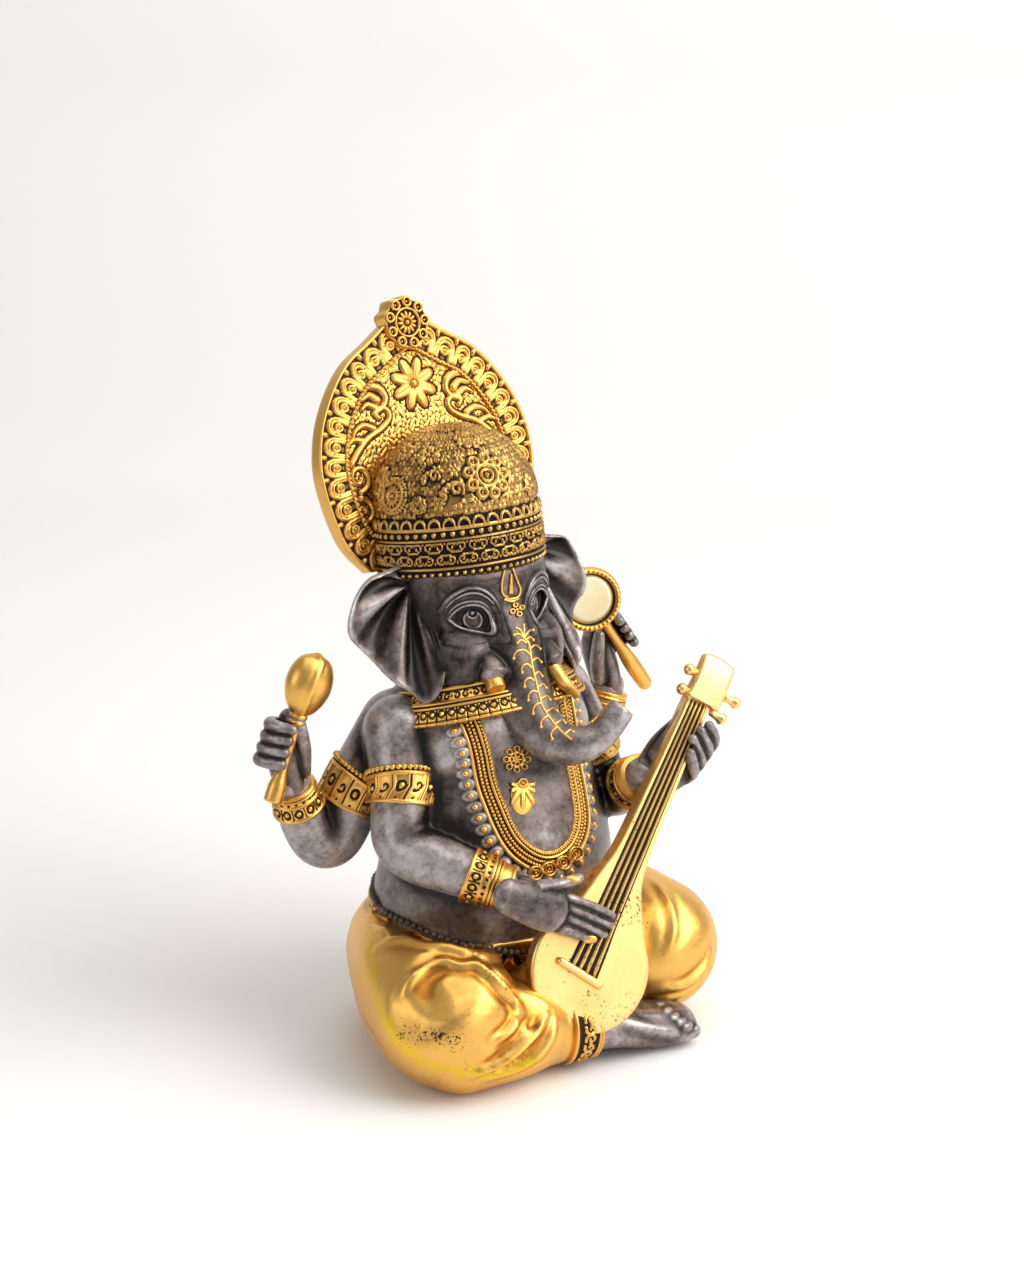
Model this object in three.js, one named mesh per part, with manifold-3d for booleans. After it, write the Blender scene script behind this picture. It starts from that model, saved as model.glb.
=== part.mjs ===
// A seated elephant-headed figure with four arms, cast in one piece: it plays a lute, and holds a ladle
// and a round hand mirror. Millimetres, +Z up. The origin is the middle of the flat underside and the
// figure faces -Y, so its own right hand is on the -X side.
import * as THREE from "three";
import { mergeVertices } from "three/addons/utils/BufferGeometryUtils.js";
import Module from "manifold-3d";

const wasm = await Module();
wasm.setup();

// Driving dimensions
const HALO = {
  foot: new THREE.Vector3(0, 19.6, 130),
  lean: THREE.MathUtils.degToRad(16.8),
  halfWidth: 36.2,
  height: 66.2,
  thickness: 5,
  border: 9.6,
  lobes: 10,
  medallion: 7.6,
};
const CROWN = {
  foot: new THREE.Vector3(0, 14.6, 131),
  lean: THREE.MathUtils.degToRad(9.8),
  radius: 24.1,
  height: 37.5,
  band: 10.5,
};
const LUTE = {
  bridge: new THREE.Vector3(-4.6, -46, 26),
  nut: new THREE.Vector3(45.4, -37.5, 94),
  face: new THREE.Vector3(-0.25, -0.93, 0.27),
  bowl: 17.8,
  bowlCentre: 3.2,
  bowlOffset: 2.2,
  neck: 3.5,
  head: 13,
  depth: 5,
};
const FINGERS = 4;
const RIGHT = -1;
const LEFT = 1;

const vector = (x, y, z) => new THREE.Vector3(x, y, z);
const X_AXIS = vector(1, 0, 0);
const Y_AXIS = vector(0, 1, 0);
const Z_AXIS = vector(0, 0, 1);
const LEAN = vector(0.31, 0.9, 0.3);
const FINE = { perSpan: 1, blunt: true };

// Solids

// A closed geometry as a solid. Only positions are kept, triangles that collapse at a pole are left out, and
// a mirrored piece is turned the right way out.
function solid(geometry) {
  const bare = new THREE.BufferGeometry().setAttribute("position", geometry.getAttribute("position"));
  if (geometry.index) bare.setIndex(geometry.index);
  const merged = mergeVertices(bare, 1e-4);
  const triangles = [];
  for (let i = 0; i < merged.index.count; i += 3) {
    const [a, b, c] = [0, 1, 2].map((k) => merged.index.getX(i + k));
    if (a !== b && b !== c && c !== a) triangles.push(a, b, c);
  }
  const made = (order) =>
    new wasm.Manifold(
      new wasm.Mesh({
        numProp: 3,
        vertProperties: merged.attributes.position.array,
        triVerts: new Uint32Array(order),
      }),
    );
  const facing = made(triangles);
  return facing.volume() > 0 ? facing : made(triangles.reverse());
}

const join = (solids) => solids.reduce((whole, next) => whole.add(next));

// A solid as a geometry again, for the exported mesh and for casting rays at it.
function geometryOf(made) {
  const mesh = made.getMesh();
  const positions = new Float32Array(mesh.numVert * 3);
  for (let i = 0; i < mesh.numVert; i++) {
    const start = i * mesh.numProp;
    positions.set(mesh.vertProperties.subarray(start, start + 3), i * 3);
  }
  return new THREE.BufferGeometry()
    .setAttribute("position", new THREE.BufferAttribute(positions, 3))
    .setIndex(new THREE.BufferAttribute(mesh.triVerts, 1));
}

// Axes at a place: z runs along the given normal, and y as near as it can to the given up.
function axes(origin, normal, up) {
  const z = normal.clone().normalize();
  const x = up.clone().cross(z).normalize();
  return new THREE.Matrix4().makeBasis(x, z.clone().cross(x), z).setPosition(origin);
}

function ball([x, y, z], [rx, ry, rz], around = 12, turn = [0, 0, 0]) {
  const matrix = new THREE.Matrix4().compose(
    vector(x, y, z),
    new THREE.Quaternion().setFromEuler(new THREE.Euler(...turn.map(THREE.MathUtils.degToRad))),
    vector(rx, ry, rz),
  );
  return solid(new THREE.SphereGeometry(1, around, Math.round(around * 0.6)).applyMatrix4(matrix));
}

// A closed skin over rings of points, with a point at each end.
function skin(first, rings, last) {
  const count = rings[0].length;
  const points = [first, ...rings.flat(), last];
  const index = [];
  for (let j = 0; j < count; j++) {
    const k = (j + 1) % count;
    index.push(0, 1 + k, 1 + j);
    for (let i = 0; i + 1 < rings.length; i++) {
      const [low, high] = [1 + i * count, 1 + (i + 1) * count];
      index.push(low + j, low + k, high + k, low + j, high + k, high + j);
    }
    const top = 1 + (rings.length - 1) * count;
    index.push(top + j, top + k, points.length - 1);
  }
  return solid(new THREE.BufferGeometry().setFromPoints(points).setIndex(index));
}

// A limb through stations of x, y, z and radius. Its ends are round, or short points where it is blunt.
// across and thick stretch its section along and square to the direction that flat gives, and each of its
// bands stands out from it between two shares of its length.
function limb(stations, options = {}) {
  const { sides = 8, perSpan = 2, flat = LEAN, across = 1, thick = 1, blunt = false, bands = [] } = options;
  const path = new THREE.CatmullRomCurve3(stations.map(([x, y, z]) => vector(x, y, z)));
  const radii = new THREE.SplineCurve(stations.map(([, , , r], i) => new THREE.Vector2(i, r)));
  const ring = ({ t, along = 0, share = 1, extra = 0 }) => {
    const tangent = path.getTangent(t);
    const u = flat.clone().cross(tangent).normalize();
    const v = tangent.clone().cross(u);
    const radius = radii.getPoint(t).y;
    const middle = path.getPoint(t).addScaledVector(tangent, along * radius);
    return Array.from({ length: sides }, (_, j) => {
      const angle = (2 * Math.PI * j) / sides;
      return middle
        .clone()
        .addScaledVector(u, (radius * share + extra) * across * Math.cos(angle))
        .addScaledVector(v, (radius * share + extra) * thick * Math.sin(angle));
    });
  };
  const steps = (stations.length - 1) * perSpan;
  const plain = Array.from({ length: steps + 1 }, (_, i) => ({ t: i / steps }));
  const clear = plain.filter(({ t }) => !bands.some(([from, to]) => t > from - 0.01 && t < to + 0.01));
  const raised = bands.flatMap(([from, to, extra]) => [
    { t: from },
    { t: from + 1e-3, extra },
    { t: to - 1e-3, extra },
    { t: to },
  ]);
  const rings = [...clear, ...raised].sort((a, b) => a.t - b.t);
  if (!blunt) rings.unshift({ t: 0, along: -0.6, share: 0.75 });
  if (!blunt) rings.push({ t: 1, along: 0.6, share: 0.75 });
  const reach = blunt ? 0.6 : 0.95;
  const end = (t, along) => path.getPoint(t).addScaledVector(path.getTangent(t), along * radii.getPoint(t).y);
  return skin(end(0, -reach), rings.map(ring), end(1, reach));
}

// A row of beads or fingers side by side: a limb that swells once for each of them.
function beaded(points, count, radius, waist, options = {}) {
  const path = new THREE.CatmullRomCurve3(points.map(([x, y, z]) => vector(x, y, z)));
  const stations = Array.from({ length: count * 2 + 1 }, (_, i) => [
    ...path.getPointAt(i / (count * 2)).toArray(),
    i % 2 ? radius : waist,
  ]);
  return limb(stations, { sides: 5, perSpan: 1, blunt: true, ...options });
}

// A profile of radius and height turned about an axis. squeeze narrows the round along the axes' y, and
// shallow narrows only the half on the side that y points to.
function turned(profile, matrix, segments = 12, squeeze = 1, shallow = 1) {
  const lathe = new THREE.LatheGeometry(
    profile.map(([r, h]) => new THREE.Vector2(r, h)),
    segments,
  );
  lathe.rotateX(Math.PI / 2).scale(1, squeeze, 1);
  const position = lathe.getAttribute("position");
  for (let i = 0; i < position.count; i++) {
    if (position.getY(i) > 0) position.setY(i, position.getY(i) * shallow);
  }
  return solid(lathe.applyMatrix4(matrix));
}

// A flat shape of the given thickness, whose front face is the axes' z = 0 plane raised by lift.
function plate(shape, thickness, matrix, { lift = 0, bevel = 0.6, curveSegments = 10 } = {}) {
  const made = new THREE.ExtrudeGeometry(shape, {
    bevelEnabled: bevel > 0,
    depth: thickness - 2 * bevel,
    bevelThickness: bevel,
    bevelSize: bevel,
    bevelOffset: -bevel,
    bevelSegments: 1,
    curveSegments,
  });
  made.translate(0, 0, lift - thickness + bevel);
  return solid(made.applyMatrix4(matrix));
}

const throughPoints = (pairs) => new THREE.SplineCurve(pairs.map(([x, y]) => new THREE.Vector2(x, y)));

// Where a ray first meets a body of the figure.
function onSurface(mesh, from, direction) {
  const hit = new THREE.Raycaster(from, direction.clone().normalize()).intersectObject(mesh)[0];
  if (!hit) throw new Error("a ray misses the body");
  return hit;
}

// The quarter view is from the front on the figure's right, a little above. A place in it is given in
// millimetres to the right and up, and seen finds the point of a body there.
const QUARTER = { turn: THREE.MathUtils.degToRad(38), rise: THREE.MathUtils.degToRad(18) };

function seen(target, across, up) {
  const { turn, rise } = QUARTER;
  const eye = vector(-Math.sin(turn) * Math.cos(rise), -Math.cos(turn) * Math.cos(rise), Math.sin(rise));
  const right = vector(Math.cos(turn), -Math.sin(turn), 0);
  const from = right.clone().multiplyScalar(across).addScaledVector(eye.clone().cross(right), up);
  return onSurface(target, from.addScaledVector(eye, 200), eye.negate()).point;
}

const asTarget = (made) => new THREE.Mesh(geometryOf(made), new THREE.MeshBasicMaterial({ side: THREE.DoubleSide }));

// Torso, legs and cloth

// A body of rings, each given as height, half-width, how far it reaches forward and back, and a slope.
function rounded(levels, sides, squareness = 1) {
  const rings = levels.map(([z, half, front, back, slope = 0]) =>
    Array.from({ length: sides }, (_, j) => {
      const angle = (2 * Math.PI * (j + 0.5)) / sides;
      const push = (value) => Math.sign(value) * Math.abs(value) ** squareness;
      const y = (front + back) / 2 + (push(Math.sin(angle)) * (back - front)) / 2;
      return vector(half * push(Math.cos(angle)), y, z + slope * y);
    }),
  );
  const middle = ([z, , front, back]) => vector(0, (front + back) / 2, z);
  return skin(middle(levels[0]), rings, middle(levels.at(-1)));
}

// The torso, with a row of beads round the waist that is lower in front.
function torso() {
  const levels = [
    [28, 35.5, -26.5, 27],
    [36, 36.4, -28.2, 26.4, 0.16],
    [37, 37.7, -29.6, 27.8, 0.16],
    [39.2, 37.7, -29.6, 27.8, 0.16],
    [40.2, 36.4, -28.4, 26.2, 0.16],
    [50, 35, -29.5, 24.5],
    [60, 32.5, -28.8, 23.5],
    [69, 31, -25.5, 23.5],
    [78, 31, -21.5, 24.5],
    [87, 31, -19.5, 25],
    [94, 29, -17, 25],
    [99, 23, -13, 23],
    [106, 15, -7, 22],
  ];
  return [rounded(levels, 16, 0.94)];
}

function leg(side) {
  const knee = side === RIGHT ? [-37, -28.5, 18.2, 20.2] : [35, -29.5, 19.5, 19.4];
  return [
    limb([[20 * side, 9, 20, 20], [31 * side, -11, 20.5, 20.5], knee], { sides: 11 }),
    side === RIGHT
      ? limb([[-35, -33, 14, 17], [-21, -38, 12.5, 13.8], [-9, -39, 11, 10.5]], { sides: 10, ...FINE })
      : limb([[33, -27, 15, 15], [16, -30, 12, 12.5], [0, -30, 10, 10]], FINE),
  ];
}

// Cloth gathered under the lute and behind the hips.
function lap() {
  return [ball([0, 7, 21], [39, 25, 24], 12), ball([0, -18, 13], [30, 20, 15], 8)];
}

// Folds of cloth, drawn over the legs in the quarter view, and the hem under the left knee.
function folds(body) {
  const target = asTarget(body);
  const lines = [
    [[-10.2, 18], [-13.4, 16.1], [-16.7, 13.4], [-17, 7.1], [-15, 3.9]],
    [[-1.8, 16.7], [2.9, 11.2], [9.4, 5]],
    [[10.5, 5.5], [8, 3.6], [4.5, -2.1], [-1.8, -6.2]],
    [[15.6, 2.8], [12.1, -3.4], [5.3, -8.3], [-3.9, -12.9]],
    [[-14.3, 17.5], [-20.2, 13.9], [-24.6, 10.4]],
    [[42, 6.8], [49.5, 7.6], [56, 13]],
  ];
  return lines.map((line) => {
    const path = throughPoints(line);
    const stations = [0, 0.33, 0.67, 1].map((t) => {
      const { x: across, y: up } = path.getPoint(t);
      return [...seen(target, across, up).toArray(), 0.5 + Math.sin(Math.PI * t)];
    });
    return limb(stations, { sides: 4, flat: vector(0.1, 0.2, 1), ...FINE });
  });
}

// The right foot lies forward, its toes towards the figure's left.
function foot() {
  const toes = beaded([[31.6, -55.2, 3.3], [32.6, -46, 3.4], [32, -34, 3.3]], 5, 2.3, 1.6, { flat: X_AXIS, across: 1, thick: 1.7 });
  const sole = limb([[-8, -40, 9, 9.5], [8, -43, 7.2, 8], [21, -44.3, 4.6, 8], [30.5, -44.4, 3, 8.2]], {
    flat: Z_AXIS,
    across: 1.12,
    thick: 0.86,
    ...FINE,
  });
  const cuff = limb([[-9.5, -39.3, 9.8, 11.3], [-4, -40.8, 9.4, 10.6]], { sides: 10, ...FINE });
  return [sole, cuff, toes];
}

// Arms, hands and what they hold

// Each arm wears a wide band above the elbow and another at the wrist.
function frontArm(side) {
  const x = (value) => value * side;
  const stations = [
    [x(27.5), 5, 88, 10.5],
    [x(32.5), -2.5, 74, 8.4],
    ...(side === RIGHT
      ? [[x(36), -8, 61, 7.8], [x(30), -21, 57, 7.2], [x(17), -34.5, 50.8, 5]]
      : [[x(37.5), -5, 59.5, 7.4], [x(34.5), -18, 64, 7.2], [x(31), -30.5, 72.5, 5]]),
  ];
  const bands = side === RIGHT ? [[0.19, 0.31, 0.8], [0.83, 0.95, 0.9]] : [[0.19, 0.31, 0.8], [0.84, 0.95, 0.9]];
  return [limb(stations, { flat: vector(0.2 * side, 0.2, 1), sides: 8, bands })];
}

function rearArm(side) {
  const x = (value) => value * side;
  const wrist = side === RIGHT ? [x(56.4), 16, 76.5, 5] : [x(57), 16.5, 80.5, 5];
  const stations = [[x(24), 11, 87, 11], [x(35), 14.5, 72, 9], [x(43), 17.5, 57, 8.8], [x(50.5), 17.5, 63, 7.4], wrist];
  return [limb(stations, { sides: 8, flat: vector(0, 1, 0.1), bands: [[0.2, 0.32, 0.7], [0.86, 0.97, 0.9]] })];
}

// A fist: the palm stands behind the handle, and four fingers come round the outside to its front.
function fist(side) {
  const x = (value) => value * side;
  const lift = side === RIGHT ? 0 : 3;
  const palm = limb([[x(55.8), 16, 76 + lift, 5], [x(58), 16.5, 82 + lift, 5.4], [x(58), 16, 88.5 + lift, 4]], {
    flat: vector(side, 0, 0),
    thick: 0.85,
    ...FINE,
  });
  const fingers = beaded([[x(62), 11.6, 77.4 + lift], [x(61), 11.4, 91.4 + lift]], FINGERS, 1.9, 1.4, {
    sides: 6,
    flat: X_AXIS,
    thick: 2.1,
    across: 1.5,
  });
  const thumb = limb([[x(56.5), 14.5, 84 + lift, 2.2], [x(57), 11, 88 + lift, 2], [x(59), 9.4, 90.5 + lift, 1.6]], { sides: 5, ...FINE });
  return [palm, thumb, fingers];
}

// A ladle: an egg-shaped bowl, a collar, and a handle that widens below the fist.
function ladle() {
  const foot = vector(-62.4, 11.6, 75.6);
  const along = vector(8.2, 0.2, 29.5).normalize();
  const matrix = axes(foot, along, Y_AXIS);
  const stem = [
    [0, -0.8],
    [2.4, -0.6],
    [2.6, 0.8],
    [1.4, 8],
    [1.4, 18.4],
    [2.2, 19.4],
    [2.2, 21],
    [1.5, 24],
    [0, 24],
  ];
  const bowl = [
    [0, 21.5],
    [3.2, 22.6],
    [6.3, 27],
    [7.2, 31.5],
    [6.2, 36.5],
    [3.4, 39.4],
    [0, 40.3],
  ];
  return [turned(stem, matrix, 7), turned(bowl, matrix, 11, 0.8)];
}

// A round mirror: a disc with a raised rim on a tapering handle.
function mirror() {
  const centre = vector(46.4, 13, 110.2);
  const end = vector(66.2, 10.4, 80.8);
  const normal = vector(-0.42, -0.88, 0.1);
  const along = end.clone().sub(centre).normalize();
  const matrix = axes(centre, normal, along.clone().negate());
  const disc = turned([[0, -1.8], [9, -1.8], [9.5, 0.8], [8.6, 1.5], [7.8, 0.3], [0, 0.2]], matrix, 16);
  const at = (distance, radius) => [...centre.clone().addScaledVector(along, distance).toArray(), radius];
  return [disc, limb([at(8.6, 1.5), at(16, 1.6), at(22, 2.3), at(34, 2.4)], { sides: 7, flat: normal, ...FINE })];
}

// The lute's axes: the origin at the bridge, y up the neck and z out of the face.
function luteAxes() {
  const along = LUTE.nut.clone().sub(LUTE.bridge).normalize();
  const normal = LUTE.face.clone().addScaledVector(along, -LUTE.face.dot(along));
  return axes(LUTE.bridge, normal, along);
}

function lute() {
  const matrix = luteAxes();
  const scale = LUTE.nut.distanceTo(LUTE.bridge);
  const { bowl, bowlCentre, bowlOffset, neck, head, depth } = LUTE;
  const flank = (side) =>
    throughPoints([
      [bowlOffset * side + bowl * 0.86, bowlCentre + bowl * 0.51],
      [bowlOffset * side * 0.8 + bowl * 0.64, bowlCentre + bowl * 0.86],
      [neck + 3.6, scale * 0.34],
      [neck + 1.6, scale * 0.46],
      [neck, scale],
    ]).getPoints(6);
  const round = Array.from({ length: 12 }, (_, i) => {
    const angle = Math.PI - 0.54 + ((Math.PI + 1.08) * (i + 0.5)) / 12;
    return new THREE.Vector2(bowlOffset + bowl * Math.cos(angle), bowlCentre + bowl * Math.sin(angle));
  });
  const left = flank(-1).map(({ x, y }) => new THREE.Vector2(-x, y));
  const outline = [...left.reverse(), ...round, ...flank(1)];
  const ring = (inset, z, swell = 0) =>
    outline.map(({ x, y }) => {
      const inBowl = Math.max(0, 1 - Math.max(0, y - bowlCentre) / (2.2 * bowl));
      const centre = new THREE.Vector2(bowlOffset, bowlCentre);
      const keep = 1 - inset / bowl - (swell ? 0.25 * inBowl : 0);
      const reached = y > scale * 0.3 ? new THREE.Vector2(x * keep, y) : centre.lerp(new THREE.Vector2(x, y), keep);
      return vector(reached.x, reached.y, z - swell * inBowl).applyMatrix4(matrix);
    });
  const middle = (z) => vector(bowlOffset, bowlCentre, z).applyMatrix4(matrix);
  const body = skin(middle(0), [ring(0.9, 0), ring(0, -0.9), ring(0, -depth), ring(0.9, -depth - 0.4, 4)], middle(-depth - 6));
  const top = new THREE.Shape();
  top.moveTo(-neck, 0).lineTo(neck, 0).lineTo(neck + 1.4, head * 0.72);
  top.quadraticCurveTo(neck + 0.8, head, 0, head + 0.8);
  top.quadraticCurveTo(-neck - 0.8, head, -neck - 1.4, head * 0.72);
  const headAxes = matrix.clone().multiply(new THREE.Matrix4().makeTranslation(0, scale - 0.6, 0));
  const pegs = [-1, 1].flatMap((side) =>
    [3.4, 9].map((height) => {
      const place = (reach) => vector(side * reach, height, -1.6).applyMatrix4(headAxes).toArray();
      return limb([[...place(neck), 0.9], [...place(neck + 3), 1.2], [...place(neck + 4.6), 2]], { sides: 4, ...FINE });
    }),
  );
  const string = (height, radius) => [...vector(0, height, 0.2).applyMatrix4(matrix).toArray(), radius];
  const strings = limb([string(0.8, 2.6), string(scale - 0.5, 1.6)], { sides: 4, flat: LUTE.face, thick: 0.3, ...FINE });
  const across = (x, radius) => [...vector(x, 0, 0.3).applyMatrix4(matrix).toArray(), radius];
  return [
    body,
    plate(top, 3.8, headAxes, { bevel: 0.6, curveSegments: 4 }),
    limb([across(-5.4, 1.2), across(5.4, 1.2)], { sides: 4, ...FINE }),
    ...pegs,
    strings,
  ];
}

// The right hand strums over the bowl of the lute.
function strummingHand() {
  const matrix = luteAxes();
  const at = (x, y, z, radius) => [...vector(x, y, z).applyMatrix4(matrix).toArray(), radius];
  const palm = limb([[-19.5, -32, 52, 5], at(-14, 18.5, 7, 5.4), at(-9, 17, 6.6, 5.6)], {
    sides: 8,
    flat: LUTE.face,
    across: 1.15,
    thick: 0.8,
    ...FINE,
  });
  const fingers = [0, 1, 2, 3].map((i) => {
    const root = 21.4 - i * 3.4;
    return limb([at(-7.5, root, 6.8, 2.1), at(-1, root - 1.2, 6.2, 1.9), at(5 - i * 0.8, root - 2.6, 2.6, 1.4)], {
      sides: 4,
      flat: LUTE.face,
      ...FINE,
    });
  });
  const thumb = limb([at(-12.5, 22.5, 5.5, 2.6), at(-7, 27, 4.4, 2.3), at(-2.6, 28.6, 2.8, 1.7)], { sides: 5, ...FINE });
  return [palm, thumb, ...fingers];
}

// The left hand holds the neck from behind, with the fingertips over its far edge.
function frettingHand() {
  const matrix = luteAxes();
  const at = (x, y, z, radius) => [...vector(x, y, z).applyMatrix4(matrix).toArray(), radius];
  const palm = limb([[31.5, -29, 71.5, 5], at(-0.5, 61, -8.5, 5.2), at(0.8, 68, -8.4, 5.2)], { flat: LUTE.face, thick: 0.85, ...FINE });
  const fingers = [0, 1, 2, 3].map((i) => {
    const height = 75 - i * 4;
    return limb([at(3, height - 3, -8.5, 2.4), at(8.8, height - 1, -4, 2.3), at(4.6, height + 2, 1.5, 1.6)], {
      sides: 4,
      flat: vector(0.3, 0.1, 1),
      ...FINE,
    });
  });
  const thumb = limb([at(-3.6, 63, -8, 2.8), at(-6.2, 70, -5.6, 2.4), at(-5.6, 75, -3, 1.8)], { sides: 5, ...FINE });
  return [palm, thumb, ...fingers];
}

// Head, trunk and ears

function head() {
  const skull = rounded(
    [
      [95, 12, -4, 21],
      [100, 17.5, -8, 24],
      [106, 21, -10.5, 26.5],
      [113, 22.3, -11, 28.5],
      [120, 22.6, -10.2, 29.8],
      [128, 23, -9.6, 30.4],
      [137, 23, -8.6, 30.4],
    ],
    16,
    0.96,
  );
  const cheeks = [RIGHT, LEFT].map((side) => ball([11 * side, -1.5, 107.5], [11, 11.5, 11.5], 10));
  const trunk = limb(
    [
      [0, 3.4, 124, 12],
      [0, -5.5, 110, 11.2],
      [0.2, -12.6, 99, 9.4],
      [0.6, -19.5, 91, 7.6],
      [3, -27, 86.6, 6.2],
      [7.4, -32.4, 86.6, 5.2],
      [12.4, -35, 89.6, 4.5],
      [17.4, -36, 94.6, 4.1],
    ],
    { sides: 9, flat: vector(1, 0.1, 0) },
  );
  const nostril = ball([20.4, -36.6, 98.6], [2.9, 2.9, 2.9], 6);
  return [skull, ...cheeks, trunk.subtract(nostril)];
}

function tusk(side) {
  const x = (value) => value * side;
  const sheath = limb([[x(8.6), -8, 109.5, 4.2], [x(9.4), -14, 107.6, 3.8]], { sides: 7, ...FINE });
  const ivory =
    side === RIGHT
      ? limb([[x(9), -12, 108, 2.7], [x(10.6), -17.6, 103.6, 2.6]], { sides: 7, ...FINE })
      : limb([[x(9), -13, 107, 2.7], [x(10.5), -18.5, 101.5, 2.2], [x(14), -20.6, 97.6, 1.3]], { sides: 6, ...FINE });
  return [sheath, ivory];
}

// Each eye is an almond-shaped plate that carries the ball, under a raised brow.
function eye(side, target) {
  const lay = (across, up) => {
    const from = vector(side * (11.8 + across) * 1.5, -60, 120.6 + up);
    return onSurface(target, from, vector(-side * (11.8 + across) * 0.5, 54, 0)).point;
  };
  const middle = lay(0, 0);
  const normal = lay(4, 0).sub(lay(-4, 0)).cross(lay(0, 3).sub(lay(0, -3))).multiplyScalar(side);
  const almond = new THREE.Shape();
  almond.moveTo(-6, 0).quadraticCurveTo(0, 6.6, 6, 0).quadraticCurveTo(0, -5.4, -6, 0);
  const brow = [-0.9, -0.3, 0.3, 0.9].map((t) => [...lay(7.8 * Math.sin(t), 0.4 + 5.8 * Math.cos(t)).toArray(), 0.9]);
  return [
    plate(almond, 2.6, axes(middle, normal, Z_AXIS), { lift: 0.8, bevel: 0, curveSegments: 4 }),
    ball(middle.clone().addScaledVector(normal.normalize(), -0.9).toArray(), [2.8, 2.8, 2.8], 7),
    limb(brow, { sides: 4, flat: Y_AXIS, ...FINE }),
  ];
}

// An ear is a fluted fan, spread from its root high on the side of the head.
function ear(side) {
  const root = vector(21, 9, 129);
  const normal = vector(0.42, -0.86, -0.28).normalize();
  const steps = { around: 20, out: 2 };
  const outline = new THREE.CatmullRomCurve3(
    [
      vector(20, 10, 132.5),
      vector(25.5, 10, 134),
      vector(33.5, 10.6, 132.6),
      vector(40, 11.2, 125),
      vector(40.4, 10.6, 118),
      vector(35.5, 7, 109.5),
      vector(29.5, -1, 102),
      vector(26.2, -6, 98.4),
      vector(21, -7.4, 106),
      vector(19.6, -3, 115),
      vector(19.4, 4, 124),
    ],
    true,
  );
  const wall = 1.2;
  const surface = (i, out, offset) => {
    const turn = i / steps.around;
    const flute = 1.9 * Math.sin(2 * Math.PI * 5 * (turn - 0.04)) * Math.sin(Math.PI * (0.12 + 0.76 * out));
    const curl = turn < 0.4 ? 3 * Math.sin((Math.PI * turn) / 0.4) * out ** 3 : 0;
    const sag = -3.4 * Math.sin(Math.PI * Math.min(1, out));
    const point = root.clone().lerp(outline.getPoint(turn), out);
    point.addScaledVector(normal, (turn > 0.08 && turn < 0.7 ? flute : 0) + curl + sag * 0.4 + offset);
    return vector(point.x * side, point.y, point.z);
  };
  const around = Array.from({ length: steps.around }, (_, i) => i);
  const layer = (offset) => (j) => around.map((i) => surface(i, (j / steps.out) * 0.95, offset));
  const outward = [1, 2].map(layer(wall));
  const rim = around.map((i) => surface(i, 1, 0));
  const inward = [2, 1].map(layer(-wall));
  return skin(surface(0, 0, wall), [...outward, rim, ...inward], surface(0, 0, -wall));
}

// Crown and halo

// A flat shape with round lobes, for flowers, rosettes and scalloped rims.
function flower(lobes, low, high, perLobe = 4) {
  const count = lobes * perLobe;
  const points = Array.from({ length: count }, (_, i) => {
    const angle = (2 * Math.PI * i) / count;
    const radius = low + (high - low) * Math.abs(Math.sin((lobes * angle) / 2));
    return new THREE.Vector2(radius * Math.sin(angle), radius * Math.cos(angle));
  });
  return new THREE.Shape(points);
}

function crown() {
  const axis = Z_AXIS.clone().applyAxisAngle(vector(1, 0, 0), -CROWN.lean);
  const matrix = axes(CROWN.foot, axis, Y_AXIS);
  const { radius, height, band } = CROWN;
  const profile = [
    [0, -4],
    [radius - 2, -4],
    [radius + 0.6, -0.6],
    [radius + 0.6, 0.8],
    [radius - 0.6, 1.6],
    [radius - 0.6, band - 2.2],
    [radius + 0.6, band - 1.2],
    [radius + 0.6, band],
    [radius - 0.4, band + 1],
    [radius * 0.95, height * 0.55],
    [radius * 0.78, height * 0.78],
    [radius * 0.45, height * 0.945],
    [0, height],
  ];
  const rosette = (turn, rise, size) => {
    const spread = radius * (0.99 - 0.35 * Math.max(0, rise - 0.5) ** 0.9);
    const place = vector(Math.sin(turn) * spread, -Math.cos(turn) * spread, height * rise);
    const normal = vector(Math.sin(turn), -Math.cos(turn), 2 * (rise - 0.36));
    const at = matrix.clone().multiply(axes(place, normal, Z_AXIS));
    return [
      plate(flower(7, size * 0.66, size, 2), 3, at, { lift: 1.1, bevel: 0 }),
      turned([[0, 0], [size * 0.45, 0], [0, 2.6]], at, 5),
    ];
  };
  return [
    turned(profile, matrix, 16, 1, 0.72),
    ...rosette(0.12, 0.58, 5.4),
    ...rosette(-1.2, 0.5, 5.2),
    ...rosette(1.44, 0.5, 5.2),
  ];
}

// Half of the halo's outline, from its foot up to the medallion, as half-width and height.
const haloFlank = () => {
  const { halfWidth, height } = HALO;
  return throughPoints([
    [halfWidth * 0.72, 0],
    [halfWidth * 0.91, height * 0.145],
    [halfWidth, height * 0.4],
    [halfWidth * 0.945, height * 0.585],
    [halfWidth * 0.8, height * 0.74],
    [halfWidth * 0.6, height * 0.865],
    [halfWidth * 0.36, height * 0.945],
    [halfWidth * 0.2, height],
  ]);
};

// The flank moved inwards by a distance, sampled at equal steps.
function insetFlank(distance, count) {
  const flank = haloFlank();
  return Array.from({ length: count + 1 }, (_, i) => {
    const point = flank.getPointAt(i / count);
    const tangent = flank.getTangentAt(i / count);
    return new THREE.Vector2(point.x - tangent.y * distance, point.y + tangent.x * distance);
  });
}

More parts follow.
